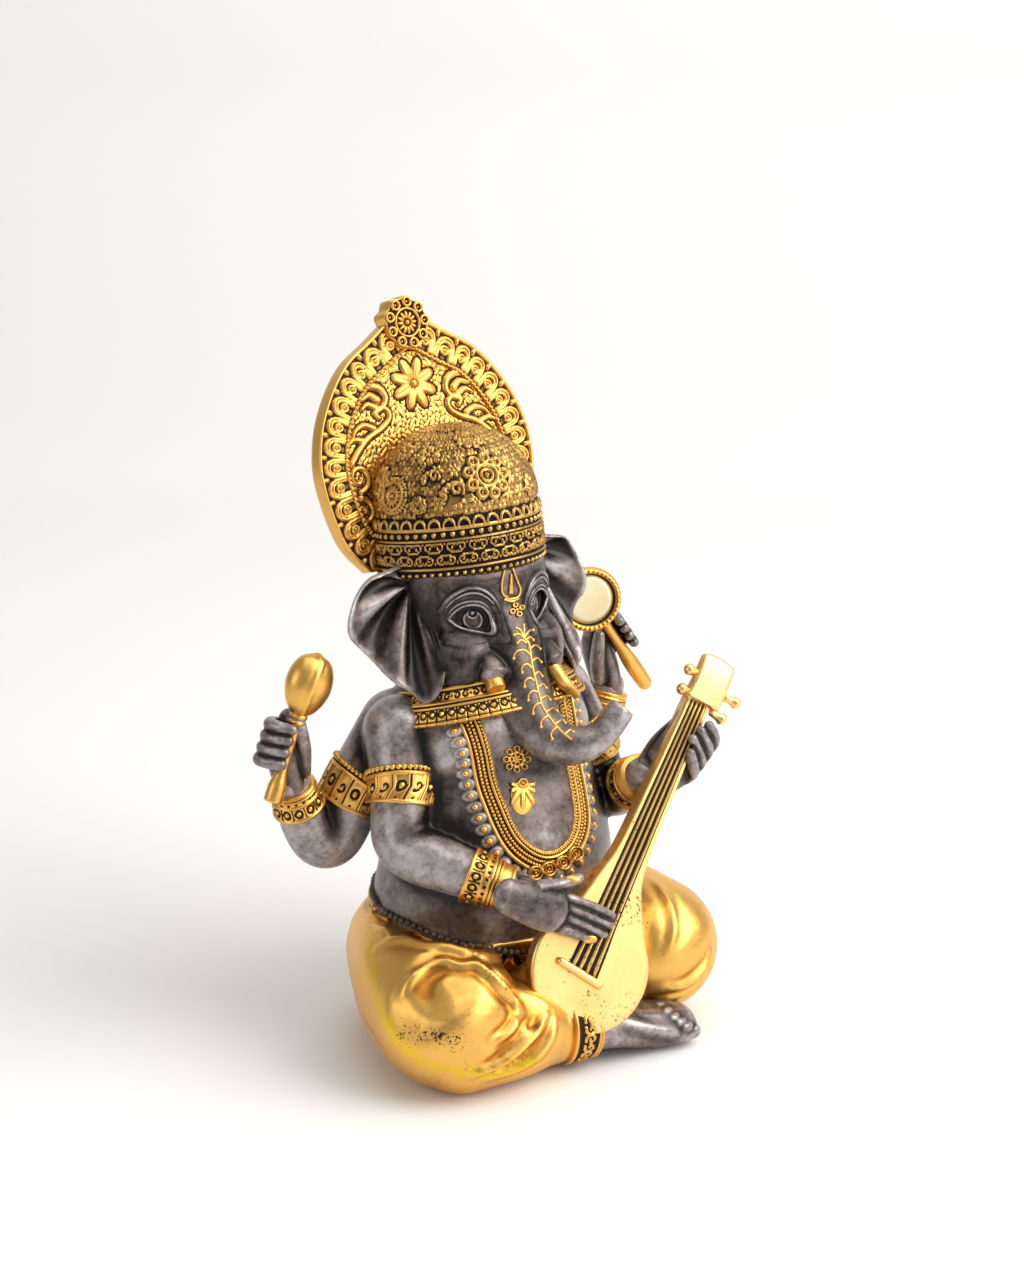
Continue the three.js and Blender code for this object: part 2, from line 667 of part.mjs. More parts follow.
function halo() {
  const up = Z_AXIS.clone().applyAxisAngle(vector(1, 0, 0), -HALO.lean);
  const forward = up.clone().cross(vector(-1, 0, 0));
  const matrix = axes(HALO.foot, forward, up);
  const { border, thickness, medallion, height, lobes } = HALO;
  const steps = lobes * 2;
  const ring = (inset, z) => {
    const half = Array.from({ length: steps + 1 }, (_, i) => insetFlank(inset(i), steps)[i]);
    const all = [...half, ...half.map(({ x, y }) => new THREE.Vector2(-x, y)).reverse()];
    return all.map(({ x, y }) => vector(x, y, z).applyMatrix4(matrix));
  };
  const level = (value) => () => value;
  const scallop = (i) => border - (i % 2 ? 1.9 : 0);
  const middle = (z) => vector(0, height * 0.5, z).applyMatrix4(matrix);
  const board = skin(
    middle(-thickness),
    [ring(level(1), -thickness), ring(level(0), 0), ring(level(1), 0.8), ring(scallop, 0.8), ring(scallop, -1)],
    middle(-1),
  );
  const placed = (x, y) => matrix.clone().multiply(new THREE.Matrix4().makeTranslation(x, y, 0));
  return [
    board,
    plate(flower(10, medallion * 0.88, medallion, 2), thickness + 2, placed(0, height), { lift: 1.6, bevel: 0 }),
    turned([[0, 0], [4.4, 0], [0, 3.4]], placed(0, height), 8),
    plate(flower(8, 3.4, 7.6, 2), 2, placed(0, height * 0.735), { lift: 0.7, bevel: 0 }),
  ];
}

// Jewels on the body

// A broad collar over the shoulders, lower in front, between a raised rim and a row of square cells.
function collar() {
  const matrix = axes(vector(0, 3.5, 94), vector(0, 0.3, 1), Y_AXIS);
  const profile = [[0, -6], [29.6, -6], [30.2, -4], [28.4, 0.4], [24, 6.6], [0, 6.8]];
  return [turned(profile, matrix, 18, 0.82)];
}

// A wide U-shaped necklace that lies on the chest and belly, with a lobed outer edge, and its pendant.
function necklace(target) {
  const lay = (x, z) => onSurface(target, vector(x * 1.4, -95, z + 12), vector(-x * 0.4, 70, -12)).point.toArray();
  const line = throughPoints([[-18.5, 88], [-17.2, 74], [-13.6, 59], [0, 50.5], [13.6, 59], [17.2, 74], [18.5, 88]]);
  const count = 18;
  const strand = (inset, radius) =>
    Array.from({ length: count + 1 }, (_, i) => {
      const point = line.getPointAt(i / count);
      const tangent = line.getTangentAt(i / count);
      return [...lay(point.x - tangent.y * inset, point.y + tangent.x * inset), radius];
    });
  const lobes = strand(-3, 1).map(([x, y, z], i) => [x, y, z, i % 2 ? 2.1 : 1.3]);
  const jewel = ball(lay(-6.4, 77.5), [3.8, 1.6, 4.2], 6);
  const drop = ball(lay(-5.6, 70), [2.8, 1.4, 4.2], 5);
  const band = limb(strand(1.2, 2.6).filter((_, i) => i % 2 === 0), { sides: 5, flat: Y_AXIS, thick: 0.5, ...FINE });
  return [band, limb(lobes, { sides: 4, flat: Y_AXIS, ...FINE }), jewel, drop];
}

function ganesha() {
  const body = join([...torso(), ...leg(RIGHT), ...leg(LEFT), ...lap()]);
  const face = join(head());
  const bodyTarget = asTarget(body);
  const faceTarget = asTarget(face);
  const whole = join([
    body,
    face,
    ...folds(body),
    ...foot(),
    ...[RIGHT, LEFT].flatMap((side) => [...frontArm(side), ...rearArm(side), ...fist(side), ...tusk(side), ...eye(side, faceTarget), ear(side)]),
    ...ladle(),
    ...mirror(),
    ...lute(),
    ...strummingHand(),
    ...frettingHand(),
    ...crown(),
    ...halo(),
    ...collar(),
    ...necklace(bodyTarget),
  ]);
  const ground = solid(new THREE.BoxGeometry(300, 300, 60).translate(0, 0, -30));
  return whole.subtract(ground);
}

const figure = new THREE.Mesh(
  geometryOf(ganesha()),
  new THREE.MeshStandardMaterial({ color: 0x6b6870, roughness: 0.55, metalness: 0.1 }),
);
figure.name = "ganesha_figure";
const group = new THREE.Group();
group.add(figure);
export default group;
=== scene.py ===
# %% [markdown]
# # A seated figure with an elephant's head, playing a lute
# The real object is one resin casting about 20 cm tall. Its skin is painted dark grey and dry-brushed with
# silver, and its cloth, lute, crown and jewels are gold over a brown wash. The plain solid that is packed as
# the part has the outline and the main forms, so here every form is modelled again at the same place with
# its fine relief. Everything is written in millimetres and turned into metres only where it meets Blender.

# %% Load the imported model
import math
from contextlib import contextmanager

import bpy
import numpy as np
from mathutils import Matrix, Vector
from mathutils.bvhtree import BVHTree


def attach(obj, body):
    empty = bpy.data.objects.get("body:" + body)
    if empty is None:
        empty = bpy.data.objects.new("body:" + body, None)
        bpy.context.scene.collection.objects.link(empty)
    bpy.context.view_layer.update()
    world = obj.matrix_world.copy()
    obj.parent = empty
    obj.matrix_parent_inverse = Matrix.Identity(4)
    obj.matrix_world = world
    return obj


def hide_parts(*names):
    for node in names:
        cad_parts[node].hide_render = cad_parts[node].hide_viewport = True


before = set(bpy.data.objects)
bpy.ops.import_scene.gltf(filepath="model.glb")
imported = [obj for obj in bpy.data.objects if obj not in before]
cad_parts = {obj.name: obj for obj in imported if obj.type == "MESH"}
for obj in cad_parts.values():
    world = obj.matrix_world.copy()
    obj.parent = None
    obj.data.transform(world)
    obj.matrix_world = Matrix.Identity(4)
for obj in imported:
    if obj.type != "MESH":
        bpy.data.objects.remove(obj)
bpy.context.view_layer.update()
bpy.ops.object.select_all(action="DESELECT")
MM = 0.001
RIGHT, LEFT = -1, 1

# %% [markdown]
# ## Reading and moving the corners of a mesh
# A modeller pushes points about by hand. Here numpy does the pushing, many points at a time, so the first
# helpers read a mesh's points and normals in millimetres and write them back.


# %% Points, normals and named values of a mesh
def points_of(piece):
    values = np.empty(len(piece.data.vertices) * 3, np.float32)
    piece.data.vertices.foreach_get("co", values)
    return values.reshape(-1, 3).astype(float) / MM


def move_points(piece, points):
    piece.data.vertices.foreach_set("co", (points * MM).astype(np.float32).ravel())
    piece.data.update()


def normals_of(piece):
    values = np.empty(len(piece.data.vertices) * 3, np.float32)
    piece.data.vertex_normals.foreach_get("vector", values)
    return values.reshape(-1, 3).astype(float)


def keep_value(piece, name, values):
    """Stores one number for each point under a name that a material can read."""
    attributes = piece.data.attributes
    stored = attributes.get(name) or attributes.new(name, "FLOAT", "POINT")
    stored.data.foreach_set("value", np.asarray(values, np.float32))


def value_of(piece, name):
    values = np.empty(len(piece.data.vertices), np.float32)
    piece.data.attributes[name].data.foreach_get("value", values)
    return values.astype(float)


def unit(vectors):
    vectors = np.asarray(vectors, float)
    return vectors / np.linalg.norm(vectors, axis=-1, keepdims=True)


def smooth(stations, share):
    """The values of a smooth line through the stations, at shares of the way along it."""
    knots = np.asarray(stations, float)
    last = len(knots) - 1
    place = np.clip(np.asarray(share, float), 0, 1) * last
    low = np.minimum(place.astype(int), last - 1)
    t = (place - low)[..., None]
    before = knots[np.maximum(low - 1, 0)]
    start = knots[low]
    end = knots[low + 1]
    after = knots[np.minimum(low + 2, last)]
    bend = 2 * before - 5 * start + 4 * end - after
    twist = 3 * (start - end) + after - before
    return start + 0.5 * t * (end - before + t * (bend + t * twist))


FINE_STEPS = 800


def length_of(line):
    return float(np.linalg.norm(np.diff(line, axis=0), axis=1).sum())


def spread(line, share, values=None):
    """The places at shares of a line's length, or else the values there of what runs beside the line."""
    run = np.concatenate([[0], np.cumsum(np.linalg.norm(np.diff(line, axis=0), axis=1))])
    values = line if values is None else values
    return np.stack([np.interp(share * run[-1], run, column) for column in values.T], axis=-1)


def even_line(stations, count, closed=False):
    """Points at equal steps along the smooth line through the stations."""
    if closed:
        stations = [*stations[-2:], *stations, *stations[:2]]
    fine = smooth(stations, np.linspace(0, 1, FINE_STEPS))
    if closed:
        span = len(stations) - 1
        fine = smooth(stations, np.linspace(2 / span, (span - 1) / span, FINE_STEPS))
    steps = np.linalg.norm(np.diff(fine, axis=0), axis=1)
    run = np.concatenate([[0], np.cumsum(steps)])
    wanted = np.linspace(0, run[-1], count)
    return np.stack([np.interp(wanted, run, column) for column in fine.T], axis=-1)


# %% [markdown]
# ## A sheet is the start of every form
# A grid primitive is added flat and its corners are moved to where a rule says: wrapped round a limb, spun
# round an axis, or spread over an outline. Each corner remembers its two shares of the grid, so the
# ornament can be drawn later in the form's own directions. Where the sheet meets itself the doubles merge.


# %% Add a sheet and close it
def select_only(piece):
    bpy.ops.object.select_all(action="DESELECT")
    piece.select_set(True)
    bpy.context.view_layer.objects.active = piece


@contextmanager
def editing(piece):
    """Opens a piece for the edit tools with everything selected, and closes it again."""
    select_only(piece)
    bpy.ops.object.mode_set(mode="EDIT")
    bpy.ops.mesh.select_all(action="SELECT")
    yield
    bpy.ops.object.mode_set(mode="OBJECT")


def sheet(name, columns, rows, place):
    """A grid whose corners go where place(u, v) says, in millimetres, closed where it meets itself."""
    bpy.ops.mesh.primitive_grid_add(x_subdivisions=columns, y_subdivisions=rows, size=2)
    piece = bpy.context.object
    piece.name = name
    flat = points_of(piece) * MM
    u = (flat[:, 0] + 1) / 2
    v = (flat[:, 1] + 1) / 2
    keep_value(piece, "u", u)
    keep_value(piece, "v", v)
    keep_value(piece, "gilt", np.ones(len(u)))
    move_points(piece, place(u, v))
    with editing(piece):
        bpy.ops.mesh.remove_doubles(threshold=0.002 * MM)
        bpy.ops.mesh.normals_make_consistent(inside=False)
    bpy.ops.object.shade_smooth()
    return piece


UNDER_ROWS = 4


def laid_strip(name, columns, rows, place, depth):
    """A closed strip on a form, where place(u, v) gives points and normals. The last rows lie under it."""
    turn_back = rows / (rows + UNDER_ROWS)

    def both_sides(u, v):
        under = v > turn_back + 0.0001
        share = np.where(under, (1 - v) / (1 - turn_back), v / turn_back)
        at_end = (u < 0.0001) | (u > 0.9999)
        points, normals = place(u, np.where(at_end, 0.5, share))
        hidden = (under & (share > 0.0001)) | at_end
        return points - normals * (depth * hidden)[:, None]

    piece = sheet(name, columns, rows + UNDER_ROWS, both_sides)
    v = value_of(piece, "v") / turn_back
    keep_value(piece, "across", np.clip(v, 0, 1))
    keep_value(piece, "shown", (v < 0.999).astype(float))
    return piece


def axes(origin, normal, up):
    """An origin and three directions: z along the normal, and y as near as it can to up."""
    z = unit(normal)
    x = unit(np.cross(up, z))
    return np.asarray(origin, float), x, np.cross(z, x), z


def placed(frame_axes, x, y, z):
    """Points given along a set of axes, in the casting's own frame."""
    origin, x_way, y_way, z_way = frame_axes
    x, y, z = np.broadcast_arrays(*(np.asarray(value, float) for value in (x, y, z)))
    return origin + x[..., None] * x_way + y[..., None] * y_way + z[..., None] * z_way

# %% [markdown]
# ## Limbs, balls and rings
# Arms, fingers, legs and the trunk are limbs: a sheet wrapped round a smooth line through a few stations,
# each with its own radius, and rounded at both ends. The torso and skull are rings of different widths.


# %% Model a limb, a ball and a body of rings
LEAN = (0.31, 0.9, 0.3)
END_SHARE = 0.14
END_RINGS = 0.06
SQUARENESS = 0.95


def along_line(stations, share, flat):
    """Where a limb's line is at each share, its radius, and the directions along, across and through it."""
    share = np.asarray(share, float)
    here = smooth(stations, share)
    way = smooth(stations, share + 0.004)[..., :3] - smooth(stations, share - 0.004)[..., :3]
    along = unit(way)
    across = unit(np.cross(flat, along))
    return here[..., :3], here[..., 3], along, across, np.cross(along, across)


def limb(name, stations, flat=LEAN, across=1.0, thick=1.0, columns=28, rows=36):
    def place(u, v):
        share = np.clip((v - END_SHARE) / (1 - 2 * END_SHARE), 0, 1)
        start = np.clip(1 - v / END_SHARE, 0, 1)
        end = np.clip(1 - (1 - v) / END_SHARE, 0, 1)
        tilt = (end - start) * math.pi / 2
        middle, radius, along, side, through = along_line(stations, share, flat)
        turn = 2 * math.pi * u
        reach = radius * np.cos(tilt)
        return (
            middle
            + along * (radius * np.sin(tilt))[:, None]
            + side * (reach * across * np.cos(turn))[:, None]
            + through * (reach * thick * np.sin(turn))[:, None]
        )

    return sheet(name, columns, rows, place)


def ball(name, centre, radii, segments=32):
    bpy.ops.mesh.primitive_uv_sphere_add(
        segments=segments,
        ring_count=segments // 2,
        radius=MM,
        location=Vector(centre) * MM,
        scale=radii,
    )
    piece = bpy.context.object
    piece.name = name
    bpy.ops.object.transform_apply(location=True, rotation=True, scale=True)
    return piece


def rings(name, levels):
    """A closed body of rings, each given as height, half-width, reach forward, reach back and slope."""
    full = [[*level, 0][:5] for level in levels]

    def place(u, v):
        open_share = np.clip(np.minimum(v, 1 - v) / END_RINGS, 0, 1)
        z, half, front, back, slope = smooth(full, np.clip((v - END_RINGS) / (1 - 2 * END_RINGS), 0, 1)).T
        turn = 2 * math.pi * u
        x = np.sign(np.cos(turn)) * np.abs(np.cos(turn)) ** SQUARENESS
        y = np.sign(np.sin(turn)) * np.abs(np.sin(turn)) ** SQUARENESS
        y = (front + back) / 2 + open_share * y * (back - front) / 2
        return np.stack([half * x * open_share, y, z + slope * y], axis=-1)

    return sheet(name, 96, 90, place)


def on_profile(profile, share):
    """The radius and the height at shares of a profile."""
    shares = np.linspace(0, 1, len(profile))
    return np.interp(share, shares, profile[:, 0]), np.interp(share, shares, profile[:, 1])


# %% [markdown]
# ## Fusing forms, as clay is blended
# Where an arm meets the body a sculptor blends the clay with a thumb. A voxel remesh joins overlapping
# closed forms into one even skin, and a few rounds of smoothing do the thumb's work.


# %% Fuse forms into one skin
def apply_modifier(piece, kind, **settings):
    select_only(piece)
    bpy.ops.object.modifier_add(type=kind)
    modifier = piece.modifiers[-1]
    for setting, value in settings.items():
        setattr(modifier, setting, value)
    bpy.ops.object.modifier_apply(modifier=modifier.name)


def joined(name, parts):
    bpy.ops.object.select_all(action="DESELECT")
    for part in parts:
        part.select_set(True)
    bpy.context.view_layer.objects.active = parts[0]
    if len(parts) > 1:
        bpy.ops.object.join()
    piece = bpy.context.object
    piece.name = name
    return piece


def fused(name, parts, voxel, rounds):
    piece = joined(name, parts)
    piece.data.remesh_voxel_size = voxel * MM
    bpy.ops.object.voxel_remesh()
    apply_modifier(piece, "SMOOTH", factor=0.5, iterations=rounds)
    select_only(piece)
    bpy.ops.object.shade_smooth()
    print(name, "has", len(piece.data.polygons), "faces")
    return piece


def cut_flat(piece):
    """Cuts a piece off level at the ground and closes its underside."""
    with editing(piece):
        bpy.ops.mesh.bisect(plane_co=(0, 0, 0), plane_no=(0, 0, 1), use_fill=True, clear_inner=True)


# %% [markdown]
# ## Drawing relief
# Cast ornament is a height map in metal or resin: beads, ropes, rings, petals and scrolls that rise with
# soft edges from a sunk ground. Each of these is a small rule that gives a height from 0 to 1 at a place on
# the surface, in millimetres, so a motif can be tried, scaled and repeated before any point is moved.


# %% Rules for beads, rings, petals and scrolls
def ridge(gap, half):
    """A round-topped line: 1 at its middle and 0 from its edge on."""
    return np.sqrt(np.clip(1 - (gap / half) ** 2, 0, 1))


def boss(x, y, radius):
    return ridge(np.hypot(x, y), radius)


def hoop(x, y, radius, half):
    return ridge(np.hypot(x, y) - radius, half)


def folded(value, pitch):
    """Repeats a motif: the distance from the middle of the nearest cell."""
    return (value + pitch / 2) % pitch - pitch / 2


def spokes(x, y, count, turn):
    """Turns each place into the nearest of a number of equal sectors, along +x."""
    sector = 2 * math.pi / count
    angle = folded(np.arctan2(y, x) - turn, sector)
    reach = np.hypot(x, y)
    return reach * np.cos(angle), reach * np.sin(angle)


def petals(x, y, count, inner, outer, width, turn=0.0, groove=0.35):
    """Oval petals with a groove down the middle of each."""
    out, side = spokes(x, y, count, turn)
    middle, half = (inner + outer) / 2, (outer - inner) / 2
    oval = np.sqrt(np.clip(1 - ((out - middle) / half) ** 2 - (side / width) ** 2, 0, 1))
    return oval * (1 - groove * ridge(side, width * 0.3))


def loops(x, y, count, distance, size, half, turn=0.0):
    """A ring of small rings, each round a dot."""
    out, side = spokes(x, y, count, turn)
    return np.maximum(hoop(out - distance, side, size, half), 0.6 * boss(out - distance, side, size * 0.35))


def along(points, line):
    """Each point's distance from a line of short stretches, how far along it, and which side it is on."""
    best = np.full(len(points), np.inf)
    place = np.zeros(len(points))
    side = np.zeros(len(points))
    run = 0.0
    for start, end in zip(line[:-1], line[1:]):
        span = end - start
        length = np.linalg.norm(span)
        from_start = points - start
        share = np.clip(from_start @ span / length**2, 0, 1)
        gap = np.linalg.norm(from_start - share[:, None] * span, axis=1)
        closer = gap < best
        best[closer] = gap[closer]
        place[closer] = run + share[closer] * length
        if points.shape[1] == 2:
            turn = from_start[:, 1] * span[0] - from_start[:, 0] * span[1]
            side[closer] = np.sign(turn[closer])
        run += length
    return best, place, side, run


def stroke(x, y, line, half, taper):
    """A raised line of the given half-width that thins towards its end."""
    gap, place, _, length = along(np.stack([x, y], axis=-1), np.asarray(line, float))
    return ridge(gap, half * (1 - taper * place / length))


def curl(size, turns, flip, start):
    """The line of a scroll that winds in on itself round the origin."""
    share = np.linspace(0, 1, 22)
    angle = start + flip * 2 * math.pi * turns * share
    reach = size * (1 - 0.78 * share)
    return np.stack([reach * np.cos(angle), reach * np.sin(angle)], axis=-1)


def leaf_scroll(x, y, line, half, lobes):
    """A leafy scroll: a stem with rounded leaves along its outer side and veins across them."""
    gap, place, side, length = along(np.stack([x, y], axis=-1), np.asarray(line, float))
    swell = np.abs(np.sin(math.pi * lobes * place / length))
    body = half * (0.5 + 0.45 * swell + 0.9 * swell * (side < 0)) * (1 - 0.4 * place / length)
    veins = 0.3 * np.cos(2 * math.pi * lobes * place / length + 2.2 * gap)
    return ridge(gap, body) * (0.8 - veins * (gap > 0.25 * half))


def cobbles(x, y, size, gap):
    """A hammered ground: uneven patches with narrow cracks between them, 1 on a patch and 0 in a crack."""
    spread_at_random = np.random.default_rng(3).random((64, 64, 2))
    column, row = np.floor(x / size).astype(int), np.floor(y / size).astype(int)
    first = np.full(np.shape(x), np.inf)
    second = np.full(np.shape(x), np.inf)
    for across in (-1, 0, 1):
        for up in (-1, 0, 1):
            jitter = spread_at_random[(column + across) % 64, (row + up) % 64]
            gap_x = x - (column + across + 0.15 + 0.7 * jitter[..., 0]) * size
            gap_y = y - (row + up + 0.15 + 0.7 * jitter[..., 1]) * size
            distance = np.hypot(gap_x, gap_y)
            second = np.minimum(second, np.maximum(first, distance))
            first = np.minimum(first, distance)
    return np.clip((second - first) / gap - 0.35, 0, 1) ** 0.6


def highest(*heights):
    return np.maximum.reduce([np.asarray(height, float) for height in heights])


def beads(run, across, pitch, radius):
    return boss(folded(run, pitch), across, radius)

# %% [markdown]
# ## Raising relief, and marking where paint and wash go
# The heights move each point along its normal. The same heights say where the gold goes: it is wiped over
# what stands up, and the brown wash stays in what lies low. A second mark, for the dry brush, comes from the
# finished mesh: how far each point stands out from the middle of its neighbours. Three more marks are dabbed
# on later: one for painted shade and a darker wash, "worn" for rubbed leaf and "scratched" for leaf with
# more specks.


# %% Raise relief and mark the paint
def raise_relief(piece, lift, gilt=None):
    move_points(piece, points_of(piece) + normals_of(piece) * np.asarray(lift)[:, None])
    if gilt is not None:
        keep_value(piece, "gilt", np.clip(gilt, 0, 1))


def mark_wear(piece, rounds, scale):
    """Stores how far each point stands out from its surroundings, from -1 in a hollow to 1 on an edge."""
    points = points_of(piece)
    edges = np.empty(len(piece.data.edges) * 2, np.int32)
    piece.data.edges.foreach_get("vertices", edges)
    one, other = edges.reshape(-1, 2).T
    count = len(points)
    near = np.bincount(one, minlength=count) + np.bincount(other, minlength=count)
    around = points.copy()
    for _ in range(rounds):
        total = np.stack(
            [
                np.bincount(one, around[other, axis], count) + np.bincount(other, around[one, axis], count)
                for axis in range(3)
            ],
            axis=-1,
        )
        around = total / np.maximum(near, 1)[:, None]
    stand = ((points - around) * normals_of(piece)).sum(axis=1)
    keep_value(piece, "stand", np.clip(stand / scale, -1, 1))
    if piece.data.attributes.get("gilt") is None:
        keep_value(piece, "gilt", np.ones(count))


def finish_piece(piece, paint, wear_rounds, wear_scale):
    """Marks the wear, gives the paint, and sets the piece on the casting's body."""
    mark_wear(piece, wear_rounds, wear_scale)
    piece.data.materials.clear()
    piece.data.materials.append(paint)
    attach(piece, "root")
    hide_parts("ganesha_figure")
    triangles = sum(len(face.vertices) - 2 for face in piece.data.polygons)
    print(piece.name, "finished with", triangles, "triangles")
    return piece


# %% [markdown]
# ## Paint
# Grey paint, gold leaf and antique gold cover the casting. Each is a tree of nodes that reads the marks of
# the mesh and a few noises in object space, where the casting measures a fifth of a metre, so a noise scale
# of 400 is a 2.5 mm pattern.


# %% Helpers for paint nodes
def new_paint(name):
    paint = bpy.data.materials.new(name)
    paint.use_nodes = True
    return paint


class Nodes:
    """A short way to add nodes to a paint and link them."""

    def __init__(self, paint):
        self.tree = paint.node_tree
        self.shader = self.tree.nodes["Principled BSDF"]
        self.place = self.tree.nodes.new("ShaderNodeTexCoord").outputs["Object"]

    def add(self, kind, inputs=(), **settings):
        node = self.tree.nodes.new(kind)
        for setting, value in settings.items():
            setattr(node, setting, value)
        for socket, value in inputs:
            self.give(node, socket, value)
        return node

    def give(self, node, socket, value):
        """Links a value to a socket, or sets it there if it is a number or a colour."""
        if isinstance(value, bpy.types.NodeSocket):
            self.tree.links.new(value, node.inputs[socket])
        else:
            node.inputs[socket].default_value = value

    def mark(self, name):
        return self.add("ShaderNodeAttribute", attribute_name=name).outputs["Fac"]

    def noise(self, scale, detail=3.0, roughness=0.5):
        inputs = [("Vector", self.place), ("Scale", scale), ("Detail", detail), ("Roughness", roughness)]
        return self.add("ShaderNodeTexNoise", inputs).outputs["Fac"]

    def math(self, operation, one, other):
        return self.add("ShaderNodeMath", [(0, one), (1, other)], operation=operation).outputs[0]

    def spread(self, noise, amount):
        """A noise about nought: how far it is from its middle, times an amount."""
        return self.math("MULTIPLY", self.math("SUBTRACT", noise, 0.5), amount)

    def ramp(self, value, stops):
        node = self.add("ShaderNodeValToRGB", [("Fac", value)])
        elements = node.color_ramp.elements
        while len(elements) < len(stops):
            elements.new(0.5)
        for element, (position, shade) in zip(elements, stops):
            element.position = position
            element.color = (*shade, 1) if isinstance(shade, tuple) else (shade, shade, shade, 1)
        return node.outputs["Color"]

    def mix(self, share, one, other):
        colours = [(*value, 1) if isinstance(value, tuple) else value for value in (one, other)]
        node = self.add("ShaderNodeMix", data_type="RGBA")
        for socket, value in zip((0, 6, 7), (share, *colours)):
            self.give(node, socket, value)
        return node.outputs[2]

    def set(self, socket, value):
        self.give(self.shader, socket, value)

    def bump(self, height, strength, distance):
        inputs = [("Height", height), ("Strength", strength), ("Distance", distance * MM)]
        self.set("Normal", self.add("ShaderNodeBump", inputs).outputs["Normal"])


# %% [markdown]
# ### Grey skin
# Graphite grey paint, wiped with a darker wash that stays in the creases, then dry-brushed with silver that
# catches on edges and bulges. The brushing is patchy, so three noises of different size break it up.

# %% Mix the grey skin
stone_grey = new_paint("stone_grey")
grey = Nodes(stone_grey)
cloudy = grey.noise(70.0, 4.0, 0.6)
mottled = grey.noise(330.0, 6.0, 0.75)
grainy = grey.noise(900.0, 4.0, 0.7)
brushed = grey.math("MULTIPLY_ADD", grey.mark("stand"), 0.5)
brushed.node.inputs[2].default_value = 0.365
for noise, amount in ((cloudy, 0.7), (mottled, 1.0), (grainy, 0.3)):
    brushed = grey.math("ADD", brushed, grey.spread(noise, amount))
# Darker here: painted shade on the face and eyes, and a darker tone on the hands and waist beads.
brushed = grey.math("SUBTRACT", brushed, grey.math("MULTIPLY", grey.mark("ink"), 0.5))
skin_colour = grey.ramp(
    brushed,
    [
        (0.06, (0.010, 0.007, 0.006)),
        (0.27, (0.042, 0.030, 0.026)),
        (0.48, (0.108, 0.080, 0.071)),
        (0.7, (0.205, 0.162, 0.148)),
        (0.98, (0.44, 0.405, 0.405)),
    ],
)
grey.set("Base Color", skin_colour)
grey.set("Metallic", 0.42)
grey.set("Roughness", grey.ramp(mottled, [(0.3, 0.22), (0.7, 0.4)]))
grey.bump(mottled, 0.3, 0.15)

# %% [markdown]
# ### Gold
# Bright leaf on the cloth, halo, ladle and mirror, a paler leaf on the lute, and an antique gold on the
# crown. The leaf is thin, so dark specks of the ground show through in patches, and the brown wash stays
# wherever the relief lies low. One function mixes them all, as they differ only in colour, specks and gloss.


# %% Mix the golds
def gold_paint(name, leaf, deep, wash, specks, rough):
    """A gold of three colours, the leaf, its low places and the wash, with its specks and roughness."""
    paint = new_paint(name)
    gold = Nodes(paint)
    cloud = gold.noise(55.0, 3.0, 0.55)
    grain = gold.noise(1100.0, 4.0, 0.75)
    patch = gold.noise(75.0, 3.0, 0.6)
    stand = gold.mark("stand")
    tone = gold.math("MULTIPLY_ADD", stand, 0.45)
    tone.node.inputs[2].default_value = 0.05
    tone = gold.math("ADD", tone, cloud)
    # Darker here: painted shade dabbed between the folds of the cloth.
    tone = gold.math("SUBTRACT", tone, gold.math("MULTIPLY", gold.mark("ink"), 0.45))
    colour = gold.ramp(tone, [(0.2, deep), (0.62, leaf)])
    flecks = gold.noise(480.0, 5.0, 0.8)
    rubbed = gold.math("ADD", gold.mark("worn"), gold.spread(flecks, 2.6))
    colour = gold.mix(gold.ramp(rubbed, [(0.5, 0.0), (0.72, 0.9)]), colour, (0.78, 0.52, 0.03))
    cover = gold.math("ADD", gold.mark("gilt"), gold.math("MULTIPLY", stand, 0.35))
    cover = gold.math("ADD", cover, gold.spread(grain, 0.3))
    covered = gold.ramp(cover, [(0.2, 0.0), (0.46, 1.0)])
    speck = gold.math("SUBTRACT", grain, gold.math("MULTIPLY", patch, specks))
    speck = gold.math("SUBTRACT", speck, gold.math("MULTIPLY", gold.mark("scratched"), 0.13))
    bare = gold.ramp(speck, [(0.11, 0.0), (0.15, 1.0)])
    covered = gold.math("MULTIPLY", covered, bare)
    gold.set("Base Color", gold.mix(covered, wash, colour))
    gold.set("Metallic", covered)
    gold.set("Specular IOR Level", 0.2)
    glossy = gold.ramp(grain, [(0.3, rough), (0.7, rough + 0.14)])
    gold.set("Roughness", gold.mix(covered, (0.7, 0.7, 0.7), glossy))
    gold.bump(grain, 0.12, 0.08)
    return paint


WASH, DARK_WASH = (0.022, 0.012, 0.006), (0.008, 0.005, 0.003)
gold_leaf = gold_paint("gold_leaf", (0.82, 0.47, 0.115), (0.48, 0.2, 0.03), (0.022, 0.011, 0.005), 0.36, 0.29)
pale_gold = gold_paint("pale_gold", (0.94, 0.65, 0.25), (0.76, 0.45, 0.13), WASH, 0.46, 0.27)
bright_gold = gold_paint("bright_gold", (1.0, 0.93, 0.66), (0.95, 0.7, 0.32), WASH, 0.4, 0.42)
antique_gold = gold_paint("antique_gold", (0.58, 0.34, 0.1), (0.26, 0.12, 0.022), DARK_WASH, 0.36, 0.3)

# %% [markdown]
# ## The view
# The photograph looks at the figure from its front right, a little above. The camera is made early, because
# the folds and painted marks are placed by where they show in that view: a ray is sent through a place in
# the 1024 x 1280 frame, and the mark sits where it meets the form that carries it.

# %% Place the camera
VIEW_TURN = math.radians(38)
VIEW_RISE = math.radians(18)
VIEW_DISTANCE = 750.0
VIEW_TARGET = np.array([4.8, -3.8, 110.4])
FRAME_SIZE = (1024, 1280)
PIXELS_PER_UNIT = 2704.0
SENSOR = 36.0

